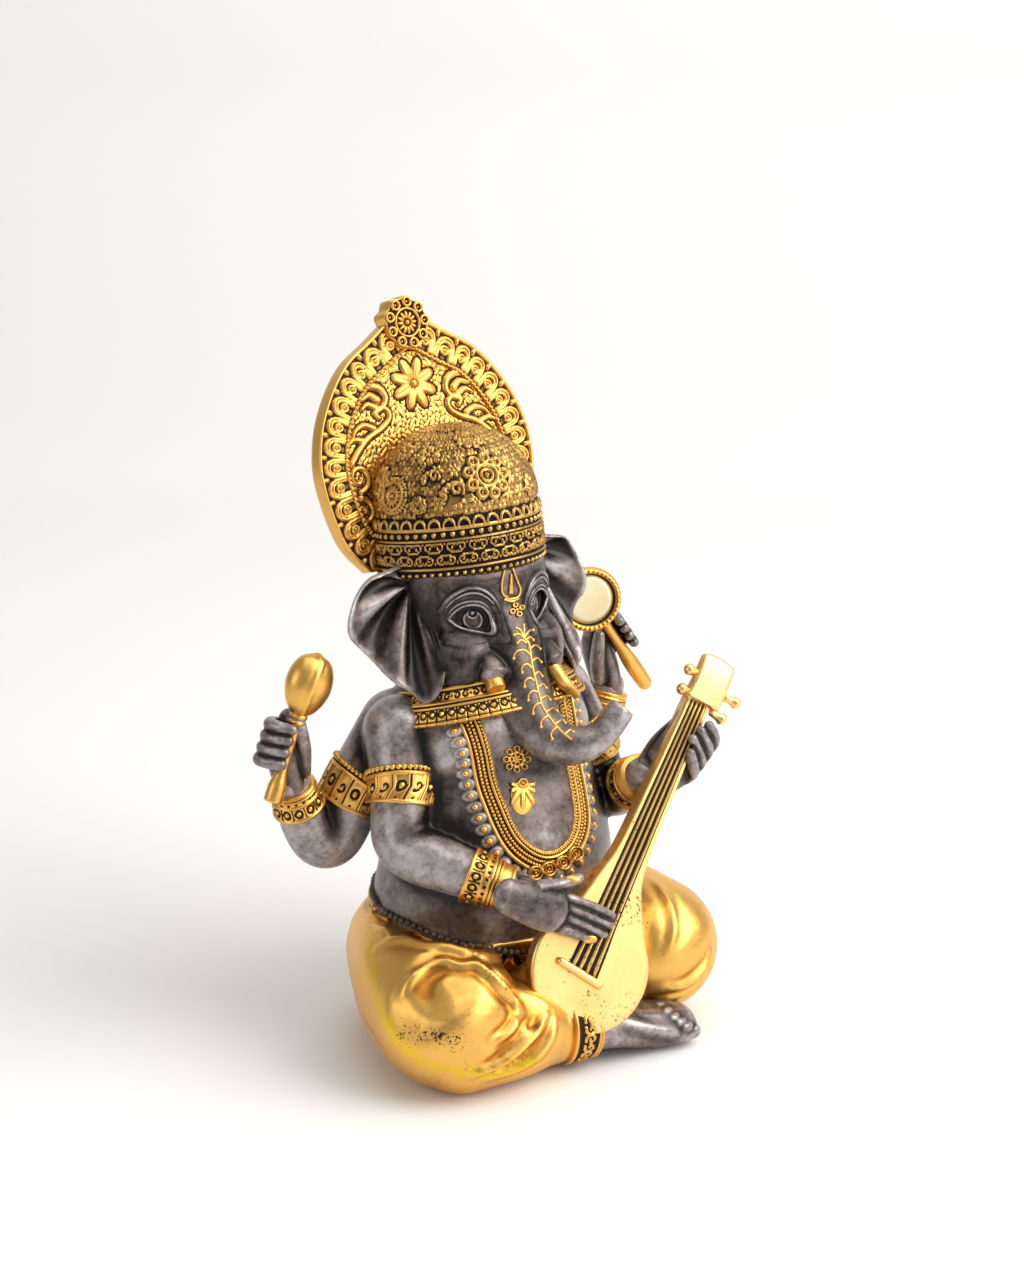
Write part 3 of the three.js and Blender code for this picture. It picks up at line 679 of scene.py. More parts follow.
towards_eye = np.array(
    [
        -math.sin(VIEW_TURN) * math.cos(VIEW_RISE),
        -math.cos(VIEW_TURN) * math.cos(VIEW_RISE),
        math.sin(VIEW_RISE),
    ]
)
view_right = np.array([math.cos(VIEW_TURN), -math.sin(VIEW_TURN), 0])
view_up = np.cross(towards_eye, view_right)
eye_place = VIEW_TARGET + VIEW_DISTANCE * towards_eye

bpy.ops.object.camera_add(location=Vector(eye_place) * MM)
camera = bpy.context.object
camera.rotation_mode = "QUATERNION"
camera.rotation_quaternion = Vector(-towards_eye).to_track_quat("-Z", "Y")
camera.data.lens = SENSOR * PIXELS_PER_UNIT / FRAME_SIZE[1]
camera.data.sensor_width = SENSOR
camera.data.dof.use_dof = False
bpy.context.scene.camera = camera


def surface_of(piece):
    return BVHTree.FromObject(piece, bpy.context.evaluated_depsgraph_get())


def met(surface, start, way):
    """Where a ray meets a surface, or the nearest place on it to the ray's middle if it misses."""
    place, normal = surface.ray_cast(Vector(start) * MM, Vector(way).normalized())[:2]
    if place is None:
        place, normal = surface.find_nearest((Vector(start) + Vector(way)) * MM)[:2]
    return np.array(place) / MM, np.array(normal)


def sight(x, y):
    """The way from the eye through a place in the photograph's frame, as long as the view's distance."""
    right = (x - FRAME_SIZE[0] / 2) / PIXELS_PER_UNIT
    up = (FRAME_SIZE[1] / 2 - y) / PIXELS_PER_UNIT
    return (right * view_right + up * view_up - towards_eye) * VIEW_DISTANCE


def seen(surface, x, y):
    """The place on a surface that shows at x, y of the photograph's frame, and its normal."""
    return met(surface, eye_place, sight(x, y))


def dabs(piece, surface, marks):
    """Soft round marks on a piece, each with its place in the photograph's frame, radius and strength."""
    marked = np.zeros(len(piece.data.vertices))
    for x, y, radius, amount in marks:
        gap = np.linalg.norm(points_of(piece) - seen(surface, x, y)[0], axis=1)
        marked = np.maximum(marked, amount * np.exp(-((gap / radius) ** 2)))
    return marked


def seen_on_plane(frame_axes, x, y, lift=0.0):
    """The same on a plane: the place in a set of axes' own x and y, at a height over them."""
    origin, x_way, y_way, z_way = frame_axes
    way = sight(x, y)
    start = eye_place - origin - lift * z_way
    place = start - way * (start @ z_way) / (way @ z_way)
    return place @ x_way, place @ y_way

# %% [markdown]
# ## Torso and arms
# The belly, chest and four upper arms are bare skin. The torso is a body of rings, and each arm is one limb
# from the shoulder to the wrist. The hands and the head come later with a finer skin.

# %% Model the torso and the arms
TORSO = [
    [28, 35.2, -26.5, 27], [36, 36.2, -28.2, 26.4, 0.1], [43, 36, -29.2, 25.8], [50, 35, -29.5, 24.5],
    [60, 32.5, -28.8, 23.5], [69, 31, -25.5, 23.5], [78, 31, -21.5, 24.5], [87, 31, -19.5, 25],
    [94, 29, -17, 25], [99, 23, -13, 23], [106, 15, -7, 22],
]


def mirrored(stations, side):
    return [[x * side, *rest] for x, *rest in stations]


UPPER_FRONT = [[27.5, 5, 88, 10.5], [32.5, -2.5, 74, 8.6]]
MOST_OF_REAR = [[24, 11, 87, 11], [35, 14.5, 72, 9], [43, 17.5, 57, 8.8], [50.5, 17.5, 63, 7.4]]
ARMS = {
    "front_arm_right": (
        [*mirrored(UPPER_FRONT, RIGHT), [-36, -8, 61, 7.9], [-30, -21, 57, 7.3], [-17, -34.5, 50.8, 4.9]],
        (-0.2, 0.2, 1),
    ),
    "front_arm_left": (
        [*UPPER_FRONT, [37.5, -5, 59.5, 7.5], [34.5, -18, 64, 7.2], [31, -30.5, 72.5, 4.9]],
        (0.2, 0.2, 1),
    ),
    "rear_arm_right": ([*mirrored(MOST_OF_REAR, RIGHT), [-56.4, 16, 76.5, 4.9]], (0, 1, 0.1)),
    "rear_arm_left": ([*MOST_OF_REAR, [57, 16.5, 80.5, 4.9]], (0, 1, 0.1)),
}

body = fused(
    "torso_and_arms",
    [
        rings("torso", TORSO),
        *(limb(name, line, flat, rows=90, columns=48) for name, (line, flat) in ARMS.items()),
        *(ball("breast", (15 * side, -5, 83), (14, 11.5, 14)) for side in (RIGHT, LEFT)),
    ],
    voxel=1.0,
    rounds=7,
)

# %% [markdown]
# ## Cloth over the legs
# The cloth is wound tight round both folded legs, so it shows their forms: thighs, knees and shins, gathered
# in the lap. The hips rise inside the waistband. It is fused like the skin, and its folds are raised on it.

# %% Model the cloth
HIPS = [
    [14, 34, -22, 28.5],
    [22, 36.5, -26, 29],
    [30, 37, -28.6, 28.4, 0.08],
    [36.6, 37.1, -29.2, 27.4, 0.16],
]
THIGH = {
    RIGHT: [[-20, 9, 20, 20], [-31, -11, 20.5, 20.5], [-37, -28.5, 18.2, 20.2]],
    LEFT: [[20, 9, 20, 20], [31, -11, 20.5, 20.5], [35, -29.5, 19.5, 19.4]],
}
SHIN = {
    RIGHT: [[-35, -33, 14, 17], [-21, -38, 12.5, 13.8], [-11, -39.6, 10.4, 10.4]],
    LEFT: [[33, -27, 15, 15], [16, -30, 12, 12.5], [0, -30, 10, 10]],
}
cloth = fused(
    "cloth",
    [
        rings("hips", HIPS),
        *(limb("thigh", THIGH[side], columns=64, rows=60) for side in (RIGHT, LEFT)),
        *(limb("shin", SHIN[side], columns=56, rows=50) for side in (RIGHT, LEFT)),
        ball("lap", (0, 7, 21), (39, 25, 22)),
        ball("lap_front", (0, -18, 13), (30, 20, 15)),
    ],
    voxel=0.9,
    rounds=7,
)


def crease(piece, line, half, height, valley=0.45):
    """Raises a fold along a line of places: a crest with a shallow valley on each side of it."""
    points = points_of(piece)
    reach = half * 3.2
    near = np.all((points > line.min(0) - reach) & (points < line.max(0) + reach), axis=1)
    gap, place, _, length = along(points[near], line)
    fade = np.sin(math.pi * np.clip(place / length, 0.02, 0.98)) ** 0.6
    shape = np.exp(-((gap / half) ** 2)) - valley * np.exp(-(((gap - 1.9 * half) / half) ** 2))
    lift = np.zeros(len(points))
    lift[near] = height * fade * shape
    raise_relief(piece, lift)


def line_on(surface, places, count):
    """A smooth line drawn over a surface through places in the photograph's frame."""
    drawn = smooth(places, np.linspace(0, 1, count))
    return np.array([seen(surface, x, y)[0] for x, y in drawn])


def dent(piece, centre, radius, way, depth):
    """Presses a round hollow into a piece, as with a ball tool."""
    points = points_of(piece)
    gap = np.linalg.norm(points - centre, axis=1) / radius
    push = depth * np.clip(1 - gap**2, 0, 1) ** 1.5
    move_points(piece, points + np.asarray(way) * push[:, None])


cloth_surface = surface_of(cloth)
UNDER_WAIST = [(398, 905, 10, 3.0), (418, 914, 11, 4.5), (440, 923, 11, 5.0), (464, 930, 11, 5.0)]
BETWEEN_FOLDS = [(443, 981, 12, 2.6), (415, 1012, 11, 1.6), (508, 966, 9, 2.2), (533, 1012, 6, 1.2)]
for x, y, radius, depth in (*UNDER_WAIST, *BETWEEN_FOLDS):
    place, outward = seen(cloth_surface, x, y)
    dent(cloth, place, radius, -outward, depth)
FOLDS = [
    ([(401, 994), (412, 976), (430, 964), (446, 958), (462, 962), (479, 963)], 1.5, 1.5),
    ([(428, 1000), (426, 988), (430, 975), (439, 966), (452, 962)], 1.2, 1.5),
    ([(474, 960), (487, 972), (500, 986), (512, 999), (526, 1012)], 1.4, 2.0),
    ([(546, 1014), (541, 1026), (533, 1036), (518, 1050), (498, 1064), (470, 1077)], 1.2, 2.0),
    ([(536, 1012), (530, 1026), (520, 1038), (504, 1050)], 1.0, 1.2),
    ([(518, 1014), (514, 1026), (504, 1036), (494, 1041)], 1.1, 1.4),
    ([(556, 1020), (551, 1040), (538, 1056), (516, 1069), (488, 1079)], 1.2, 1.4),
    ([(378, 948), (398, 938), (430, 941), (470, 951), (520, 962)], 1.6, 0.9),
    ([(664, 990), (686, 984), (704, 968), (712, 948)], 1.4, 1.4),
    ([(652, 1002), (678, 996), (698, 984), (708, 968)], 1.1, 1.0),
    ([(655, 880), (668, 900), (674, 925), (670, 950)], 1.3, 0.7),
]
for places, half, height in FOLDS:
    crease(cloth, line_on(cloth_surface, places, 40), half, height)
REAR_FOLDS = [
    ([(-31, 23, 27), (-26, 27, 23), (-16, 30, 20)], 2.0, 1.0),
    ([(36, 12, 30), (30, 24, 24), (18, 30, 20)], 2.0, 1.2),
    ([(46, -4, 34), (52, -18, 26), (52, -32, 18)], 1.8, 1.2),
    ([(40, 6, 14), (50, -10, 10), (54, -26, 8)], 1.8, 1.0),
    ([(-40, 6, 14), (-50, -10, 10), (-55, -26, 8)], 1.8, 0.8),
]
for places, half, height in REAR_FOLDS:
    stations = smooth(places, np.linspace(0, 1, 16))
    line = [cloth_surface.find_nearest(Vector(place) * MM)[0] for place in stations]
    crease(cloth, np.array(line) / MM, half, height)
cut_flat(cloth)
cloth_surface = surface_of(cloth)
print("raised", len(FOLDS) + len(REAR_FOLDS), "folds on the cloth")

# %% [markdown]
# ## Foot
# The right foot comes out of the cloth under the lute and lies on the ground with its toes to the left. It is
# worn smooth, so the sole, the instep and the big toe are fused first, the edge of the sole is a low crease,
# and the toes are flat balls at the places where they show.

# %% Model the foot
TOES = [(659, 1004), (667, 1010), (674, 1016), (681, 1021.5), (687, 1027)]
TOE_RADII = (2.6, 1.9, 1.5)
SOLE = [[-6, -41, 8.6, 7.2], [8, -43.5, 7.2, 7.4], [20, -46, 4.8, 7.6], [27.5, -47, 3.2, 7.6]]
SOLE_EDGE = [(612, 1016), (630, 1022), (652, 1029), (676, 1034), (690, 1036)]
foot = fused(
    "foot",
    [
        limb("sole", SOLE, (0, 0, 1), 1.14, 0.84),
        limb("instep", [[2, -42, 8.8, 6.2], [16, -44, 7, 5.2], [25, -45, 4.4, 3.6]]),
        limb("big_toe", [[20, -50.5, 2.8, 3.2], [26, -52.8, 2.7, 3.0], [30.3, -53.6, 2.5, 2.4]], columns=20),
    ],
    voxel=0.58,
    rounds=2,
)
foot_surface = surface_of(foot)
crease(foot, line_on(foot_surface, SOLE_EDGE, 30), 1.5, 0.4, 0.5)
toe_parts = []
for number, (x, y) in enumerate(TOES):
    place, outward = seen(foot_surface, x, y)
    wide, deep, tall = TOE_RADII
    toe_parts.append(ball("toe", place - outward * 1.1, (wide, deep, tall + 0.06 * number), 20))
foot = fused("foot", [foot, *toe_parts], voxel=0.56, rounds=1)
cut_flat(foot)

# %% [markdown]
# ## Hands
# Fingers are only two millimetres thick, so the hands get a finer skin than the arms. Two of them close
# round the handles of the ladle and the mirror, one strums, and one holds the lute's neck from behind. The
# fingers on the lute are placed by where they show in the view and by their height over the lute's face.
# Two nails of the strumming hand are gilt: balls pressed flat on the skin.

# %% Set out the lute and model the hands
BRIDGE = np.array([-4.6, -46, 26])
NUT = np.array([45.4, -37.5, 94])
STRING_LENGTH = float(np.linalg.norm(NUT - BRIDGE))
neck_way = unit(NUT - BRIDGE)
face_way = np.array([-0.25, -0.93, 0.27])
face_way = face_way - neck_way * (face_way @ neck_way)
LUTE = axes(BRIDGE, face_way, neck_way)


def on_axes(frame_axes, *stations):
    """Stations of a limb given along a set of axes, each with its radius."""
    return [[*placed(frame_axes, x, y, z), radius] for x, y, z, radius in stations]


def over_lute(*stations):
    """Stations given as they show in the photograph: x and y of its frame, height over the face, radius."""
    here = ((*seen_on_plane(LUTE, x, y, lift), lift, radius) for x, y, lift, radius in stations)
    return on_axes(LUTE, *here)


LADLE = axes((-65.2, 11.6, 75.0), (12.6, 0.2, 30.4), (0, 1, 0))
MIRROR_CENTRE = np.array([46.4, 13, 110.2])
MIRROR_END = np.array([66.2, 10.4, 80.8])
mirror_way = unit(MIRROR_END - MIRROR_CENTRE)
GRIP = axes(MIRROR_CENTRE, mirror_way, (0, 1, 0))


def closed_fingers(grip_axes, flat, step, *stations):
    """Four fingers closed round a handle, each a step farther along it."""
    fingers = []
    for i in range(4):
        here = ((x, y, z + step * i, radius) for x, y, z, radius in stations)
        fingers.append(limb("finger", on_axes(grip_axes, *here), flat, columns=20))
    return fingers


def drawn_fingers(lines, heights_and_radii):
    """Fingers that run through places in the photograph's frame, each at a height over the lute's face."""
    fingers = []
    for places in lines:
        stations = [(*place, *over) for place, over in zip(places, heights_and_radii)]
        fingers.append(limb("finger", over_lute(*stations), columns=20))
    return fingers


LADLE_PALM = [[-56.2, 16, 74.5, 4.7], [-57.6, 17, 82, 5.2], [-57, 17.4, 89, 4.8], [-55.6, 17, 94, 3.6]]
LADLE_THUMB = [[-54, 14, 80, 2.5], [-54.6, 12.4, 87, 2.3], [-55.8, 11.4, 93, 1.9], [-56.6, 11.2, 97, 1.6]]
LADLE_FINGER = [(1.5, 5.2, 10, 1.75), (-3.2, 6.0, 9.8, 1.85), (-5.9, 3.1, 9.6, 1.85), (-5.1, -0.7, 9.8, 1.7)]
MIRROR_PALM = [[57, 16.5, 79.5, 4.8], [55.6, 17.6, 86.5, 5.4], [53.6, 18, 93, 5.2], [52.6, 17.6, 97, 4]]
MIRROR_THUMB = [[52.6, 15.4, 84, 2.3], [50.8, 14.2, 90, 2.3], [50.4, 13.4, 95, 2.0], [50.4, 13, 98.4, 1.7]]
MIRROR_FINGER = [(2, 5.6, 13.2, 1.6), (-2.6, 5.2, 12.8, 1.6), (-5, 2.2, 12.6, 1.6), (-4, -0.9, 12.6, 1.5)]
ladle_hand = [
    limb("palm", LADLE_PALM, (1, 0, 0), 1.1, 0.8),
    limb("thumb", LADLE_THUMB, columns=20),
    *closed_fingers(LADLE, (0, 0, 1), 3.3, *LADLE_FINGER, (-2.9, -2.8, 10.2, 1.5)),
]
mirror_hand = [
    limb("palm", MIRROR_PALM, (-1, 0, 0), 1.05, 0.8),
    limb("thumb", MIRROR_THUMB, columns=20),
    *closed_fingers(GRIP, mirror_way, 3.0, *MIRROR_FINGER),
]

STRUM_WRIST = [[-24, -28, 53.6, 5.2], [-17, -34.5, 50.8, 5.15], *over_lute((518, 898, 5.0, 3.9))]
STRUM_PALM = [(508, 896, 8.4, 4.4), (522, 901, 7.6, 5.0), (538, 906, 6.6, 5.6), (551, 910, 5.6, 5.5)]
STRUM_THUMB = [(538, 889, 7, 2.6), (556, 885.5, 5.6, 1.9), (570, 881.5, 4.6, 1.65), (579, 878, 3.8, 1.45)]
STRUM_FINGERS = [
    [(560, 896), (571, 899), (593, 906.5), (612, 915.5)],
    [(558, 906), (570.5, 909.5), (592, 917.5), (610.5, 925.5)],
    [(556, 916.5), (568.5, 919.5), (588, 927), (604, 934.5)],
    [(554, 927), (565.5, 930), (582, 935.5), (593.5, 939.5)],
]
strumming = [
    limb("wrist", STRUM_WRIST, face_way, 1.05, 1.0),
    limb("palm", over_lute(*STRUM_PALM), face_way, 1.12, 0.62),
    limb("thumb", over_lute(*STRUM_THUMB), columns=20),
    *drawn_fingers(STRUM_FINGERS, [(4.4, 1.5), (4.9, 1.5), (3.8, 1.38), (2.2, 1.1)]),
]

FRET_PALM = on_axes(LUTE, (-0.5, 61, -8.5, 5.2), (0.8, 69, -8.4, 5), (2, 76, -8, 3.6))
FRET_HEEL = [(668, 776, -9, 4.8), (682, 765, -8.4, 4.9), (695, 750, -8, 4.4), (702, 738, -7.5, 3.4)]
FRET_THUMB = [(657, 757, -6, 3.0), (668, 741, -5, 2.5), (677, 725, -3.4, 2.0), (683, 713, -2.4, 1.6)]
FRET_FINGERS = [
    [(703, 754), (713, 744), (714, 735), (709, 725.5)],
    [(698, 763), (707, 753), (707, 744), (701, 731)],
    [(692, 771), (700, 763), (699, 755), (693, 739)],
    [(685, 779), (693, 773), (693, 765), (690.5, 753)],
]
fretting = [
    limb("palm", [[31.2, -29.4, 71, 4.9], *FRET_PALM], face_way, 1.2, 0.85),
    limb("heel", over_lute(*FRET_HEEL), face_way),
    limb("thumb", over_lute(*FRET_THUMB), columns=20),
    *drawn_fingers(FRET_FINGERS, [(-7, 1.7), (-4.2, 1.7), (-0.4, 1.6), (2.2, 1.4)]),
]
NAILS = [(590, 939.5, 1.15), (573, 878.5, 1.1)]
hands = fused("hands", [*ladle_hand, *mirror_hand, *strumming, *fretting], voxel=0.48, rounds=2)
hands_surface = surface_of(hands)
nails = []
for x, y, radius in NAILS:
    place, outward = seen(hands_surface, x, y)
    bpy.ops.mesh.primitive_ico_sphere_add(subdivisions=3, radius=radius * MM, location=(0, 0, 0))
    nail = bpy.context.object
    flat = points_of(nail)
    longer = 0.9 * np.outer(flat @ view_right, view_right)
    flatter = 0.55 * np.outer(flat @ outward, outward)
    move_points(nail, place + flat + longer - flatter)
    nails.append(nail)
nails = joined("gilt_nails", nails)

# %% [markdown]
# ## Head, trunk and ears
# The head carries a fine skin too, because the eye goes there first. The skull is a body of rings with two
# balls for cheeks, the trunk is one long limb that curls up at its tip, and each ear is a fluted fan. The tip
# is pressed in with a ball tool, and each tusk gets a short sheath with a rolled lip.

# %% Model the head
SKULL = [
    [94, 11, -3, 21], [100, 17.5, -8, 24], [106, 20.8, -10.5, 26.5], [113, 22.3, -11, 28.5],
    [120, 22.6, -10.2, 29.8], [128, 22.7, -9.4, 30.4], [133, 22, -8.2, 30], [137, 20, -5.4, 28.5],
    [141, 14, 0, 24],
]
TRUNK = [
    [0, 5.4, 126, 11.0], [0, -4.6, 111, 11.2], [0.2, -12.4, 99.4, 9.4], [0.6, -19.3, 91.4, 7.6],
    [3, -26.6, 87.2, 6.2], [7.2, -32, 87.2, 5.1], [12, -34.6, 90, 4.2], [16.8, -35.8, 95.4, 3.9],
]
TRUNK_FLAT = (1, 0.1, 0)
EAR_ROOT = np.array([21, 9, 129])
EAR_NORMAL = unit([0.42, -0.86, -0.28])
EAR_STATIONS = {
    RIGHT: [
        [20, 10, 132.5], [25.5, 10, 134], [33.5, 10.6, 132.6], [40, 11.2, 125], [40.4, 10.6, 118],
        [35.5, 7, 109.5], [29.5, -1, 102], [26.2, -6, 98.4], [21, -7.4, 106], [19.6, -3, 115],
        [19.4, 4, 124],
    ],
    LEFT: [
        [20, 10, 132.5], [25.5, 10, 134.4], [33, 10.6, 133], [38, 11, 126], [38.4, 10, 118],
        [35.6, 6.6, 109], [31.4, 0, 100], [27.6, -5, 94.6], [22, -7.4, 103], [19.6, -3, 115],
        [19.4, 4, 124],
    ],
}


def ear(side):
    """A fan from the ear's root to its outline: five flutes, a rolled top rim and a wall all round."""
    stations = even_line(EAR_STATIONS[side], 241, closed=True)

    def place(u, v):
        front = v < 0.5
        out = np.where(front, v * 2, (1 - v) * 2)
        shares = np.linspace(0, 1, len(stations))
        outline = np.stack([np.interp(u, shares, column) for column in stations.T], axis=-1)
        point = EAR_ROOT + (outline - EAR_ROOT) * out[:, None]
        fluted = (u > 0.06) & (u < 0.74)
        fade = np.sin(math.pi * np.clip((u - 0.06) / 0.68, 0, 1)) ** 0.5
        wave = np.sin(2 * math.pi * 5.4 * (u - 0.05) + 0.5 * np.sin(9 * u))
        flute = 2.3 * np.sign(wave) * np.abs(wave) ** 0.8 * np.sin(math.pi * (0.1 + 0.7 * out)) * fade
        curl_over = np.where(u < 0.42, 3.0 * np.sin(math.pi * u / 0.42) * out**4, 0)
        rim = 0.6 * np.exp(-(((out - 0.95) / 0.05) ** 2))
        thick = 0.9 * np.sqrt(np.clip(1 - out**12, 0, 1)) + rim * (out < 0.995)
        lift = np.where(fluted, flute, 0) + curl_over - 1.4 * np.sin(math.pi * out)
        point = point + EAR_NORMAL * (lift + np.where(front, thick, -thick))[:, None]
        point[:, 0] *= side
        return point

    return sheet("ear", 200, 72, place)


def tusk_sheath(side):
    """A short tube round the tusk: a thick wall that ends in a rolled lip with a hollow inside it."""
    line = [[9.2, -7.5, 109.6, 3.9], [9.5, -11, 108.2, 4.1], [9.8, -13.9, 106.8, 3.9]]
    hood = limb("sheath", mirrored(line, side))
    lip_axes = axes((side * 9.9, -14.8, 106.2), (side * 0.22, -0.66, -0.72), (0, 0, 1))

    def ring(u, v):
        turn, around = 2 * math.pi * u, 2 * math.pi * v
        reach = 3.3 + 0.8 * np.cos(around)
        return placed(lip_axes, reach * np.cos(turn), reach * np.sin(turn), 0.9 * np.sin(around))

    return [hood, sheet("lip", 48, 16, ring)]


head = fused(
    "head",
    [
        rings("skull", SKULL),
        *(ball("cheek", (11 * side, -1.5, 107.5), (11, 11.5, 11.5)) for side in (RIGHT, LEFT)),
        limb("trunk", TRUNK, TRUNK_FLAT, columns=64, rows=140),
        *(part for side in (RIGHT, LEFT) for part in tusk_sheath(side)),
        *(ear(side) for side in (RIGHT, LEFT)),
    ],
    voxel=0.53,
    rounds=5,
)

trunk_end = np.array(TRUNK[-1][:3])
trunk_way = unit(trunk_end - np.array(TRUNK[-2][:3]))
dent(head, trunk_end + trunk_way * 4.2, 4.0, -trunk_way, 6.0)

# %% [markdown]
# ### Eyes and brows
# Each eye is an almond cut deep under a sharp lid, with a ball that carries an iris of rings, and two brow
# arcs over it. All of that is finer than the skin's own faces, so it is drawn on a small dense patch laid
# over the face. The skin behind the patch is pushed in, and at its border the patch comes down to the skin.

# %% Model the brows and the eyes
EYE_ACROSS, EYE_UP = 11.4, 122.6
EYE_WIDE, EYE_TALL = 17.0, 17.6
EYE_BORDER = 2.4
CHEEK_FOLD = [(440, 641), (454, 647), (470, 648), (484, 644)]
head_surface = surface_of(head)
socket, outward = seen(head_surface, 472, 619)
for side in (RIGHT, LEFT):
    dent(head, socket * (-side, 1, 1), 7.5, -outward * (-side, 1, 1), 1.6)
crease(head, line_on(surface_of(head), CHEEK_FOLD, 24), 1.6, 0.3)
head_surface = surface_of(head)


def on_eye_patch(points):
    """Where points of the head lie on the patch of their eye, across and up from its middle."""
    run = (points[:, 1] + 60) / 54
    return EYE_ACROSS - np.abs(points[:, 0]) / (1.5 - 0.5 * run), points[:, 2] - EYE_UP


def drawn_on_eye(places, count=30):
    """A line through places in the photograph's frame, as it lies on the patch."""
    return np.stack(on_eye_patch(line_on(head_surface, places, count)), axis=-1)


LIDS = [
    (450, 618.7), (454.7, 612.4), (462.7, 607), (472, 605.2), (480, 606.9), (486, 612), (489.3, 620),
    (490.7, 631.3), (480, 631.3), (466.7, 628.7), (457.3, 624.7), (450, 618.7),
]
UPPER_FOLD = [(446, 620), (452, 609), (461, 603), (472, 601), (482, 603), (490, 611), (493, 624)]
BROW = [(439, 611), (447, 600.5), (457.3, 592.7), (468, 588.3), (478.7, 588.7), (488, 593.3)]
BROW += [(496, 602), (501, 612)]
UNDER_BROW = [(446, 607.3), (453.3, 600), (465.3, 594), (477.3, 593.3), (486.7, 597.3), (493.5, 603.5)]
lid_line = drawn_on_eye(LIDS, 60)
fold_line, brow_line, under_brow_line = (drawn_on_eye(line) for line in (UPPER_FOLD, BROW, UNDER_BROW))
(iris_x, iris_y), (pupil_x, pupil_y) = drawn_on_eye([(472.7, 620), (472.7, 613.6)], 2)


def within(x, y, line):
    """Whether places lie inside a closed line, by counting how often it is crossed on the way out."""
    crossed = np.zeros(len(x), bool)
    for (x1, y1), (x2, y2) in zip(line[:-1], line[1:]):
        if y1 != y2:
            crossed ^= ((y1 > y) != (y2 > y)) & (x < (x2 - x1) * (y - y1) / (y2 - y1) + x1)
    return crossed


def eye_relief(x, y):
    """The height of the eye, its lids and the brow, and the painted shade under the lids and in its grooves.
    """
    gap = along(np.stack([x, y], axis=-1), lid_line)[0]
    opening = np.where(within(x, y, lid_line), gap, -gap)
    iris_gap, pupil_gap = np.hypot(x - iris_x, y - iris_y), np.hypot(x - pupil_x, y - pupil_y)
    iris_rings = 0.22 * ridge(iris_gap - 2.3, 0.4) - 0.3 * ridge(iris_gap - 2.85, 0.3)
    pupil_rings = 0.2 * ridge(pupil_gap - 1.3, 0.3) - 0.3 * ridge(pupil_gap - 0.85, 0.28)
    pupil_dot = 0.35 * ridge(pupil_gap, 0.55)
    open_eye = -1.75 + 1.3 * ridge(iris_gap, 5.4) + iris_rings + pupil_rings + pupil_dot
    brow_gap = stroke(x, y, brow_line, 0.62, 0.3)
    skin = highest(
        0.8 * ridge(opening + 0.4, 0.5),
        0.55 * stroke(x, y, fold_line, 0.42, 0.2),
        0.75 * brow_gap,
        0.45 * stroke(x, y, under_brow_line, 0.42, 0.3),
    )
    blend = np.clip(opening / 0.4, 0, 1)
    ink = highest(
        ridge(opening - 0.25, 0.4),
        0.9 * (opening > 0.2) * np.clip((iris_gap - 2.6) / 0.4, 0, 1),
        0.9 * (opening > 0) * highest(ridge(iris_gap - 2.75, 0.3), ridge(pupil_gap - 0.85, 0.28)),
        0.75 * ridge(opening + 1.0, 0.25),
        0.45 * ridge(along(np.stack([x, y - 0.75], axis=-1), brow_line)[0], 0.5) * (brow_gap < 0.3),
    )
    return 0.1 + (1 - blend) * skin + blend * open_eye, ink


def eye(side, name):
    def place(u, v):
        placed_points, placed_normals = [], []
        for a, b in zip((u - 0.5) * EYE_WIDE, (v - 0.5) * EYE_TALL):
            start = (side * (EYE_ACROSS + a) * 1.5, -60, EYE_UP + b)
            point, normal = met(head_surface, start, (-side * (EYE_ACROSS + a) * 0.5, 54, 0))
            placed_points.append(point)
            placed_normals.append(normal)
        return np.array(placed_points), np.array(placed_normals)

    piece = laid_strip(name, 92, 90, place, 1.2)
    x = (0.5 - value_of(piece, "u")) * EYE_WIDE
    y = (value_of(piece, "across") - 0.5) * EYE_TALL
    shown = value_of(piece, "shown") > 0.5
    to_edge = np.minimum(EYE_WIDE / 2 - np.abs(x), EYE_TALL / 2 - np.abs(y))
    height, ink = eye_relief(x, y)
    sunk = np.clip(1 - to_edge / EYE_BORDER, 0, 1) ** 2
    raise_relief(piece, np.where(shown, height - 0.07 - 0.12 * sunk, 0))
    keep_value(piece, "ink", ink)
    keep_value(piece, "calm", np.clip(to_edge / EYE_BORDER - 0.3, 0, 1) * shown)
    return piece


eyes = [eye(RIGHT, "eye_right"), eye(LEFT, "eye_left")]
head_points, head_normals = points_of(head), normals_of(head)
behind_x, behind_y = on_eye_patch(head_points)
from_edge = np.minimum(EYE_WIDE / 2 - np.abs(behind_x), EYE_TALL / 2 - np.abs(behind_y))
push = 2.6 * np.clip((from_edge - 0.8) / 1.0, 0, 1) * (head_normals[:, 1] < -0.1) * (head_points[:, 1] < 0)
move_points(head, head_points - head_normals * push[:, None])
# Painted shade dabbed on the face where it lies in shade, less a painted highlight on the ears.
HEAD_PAINTED_SHADE = [
    (425, 640, 10, 0.9), (432, 665, 9, 0.9), (450, 672, 8, 0.7), (470, 690, 7, 0.8),
    (498, 650, 6, 0.6), (505, 675, 5, 0.6), (420, 610, 7, 0.6), (490, 640, 4, 0.4), (548, 650, 9, 0.8),
    (556, 690, 8, 0.7), (380, 590, 4, 0.4),
]
EAR_SHEEN = [(362, 598, 9, 0.5), (376, 636, 10, 0.5), (398, 668, 8, 0.4), (548, 585, 7, 0.3)]
keep_value(head, "ink", dabs(head, head_surface, HEAD_PAINTED_SHADE) - dabs(head, head_surface, EAR_SHEEN))

# %% [markdown]
# ## Crown
# The crown is a tall dome on a band. Its sheet is spun round a leaning axis, flatter behind, where it meets
# the halo. The band carries rows of beads, two rows of paired scrolls and a row of arches, and the dome
# carries rosettes, a wheel, flowers and leaves over a hammered ground.

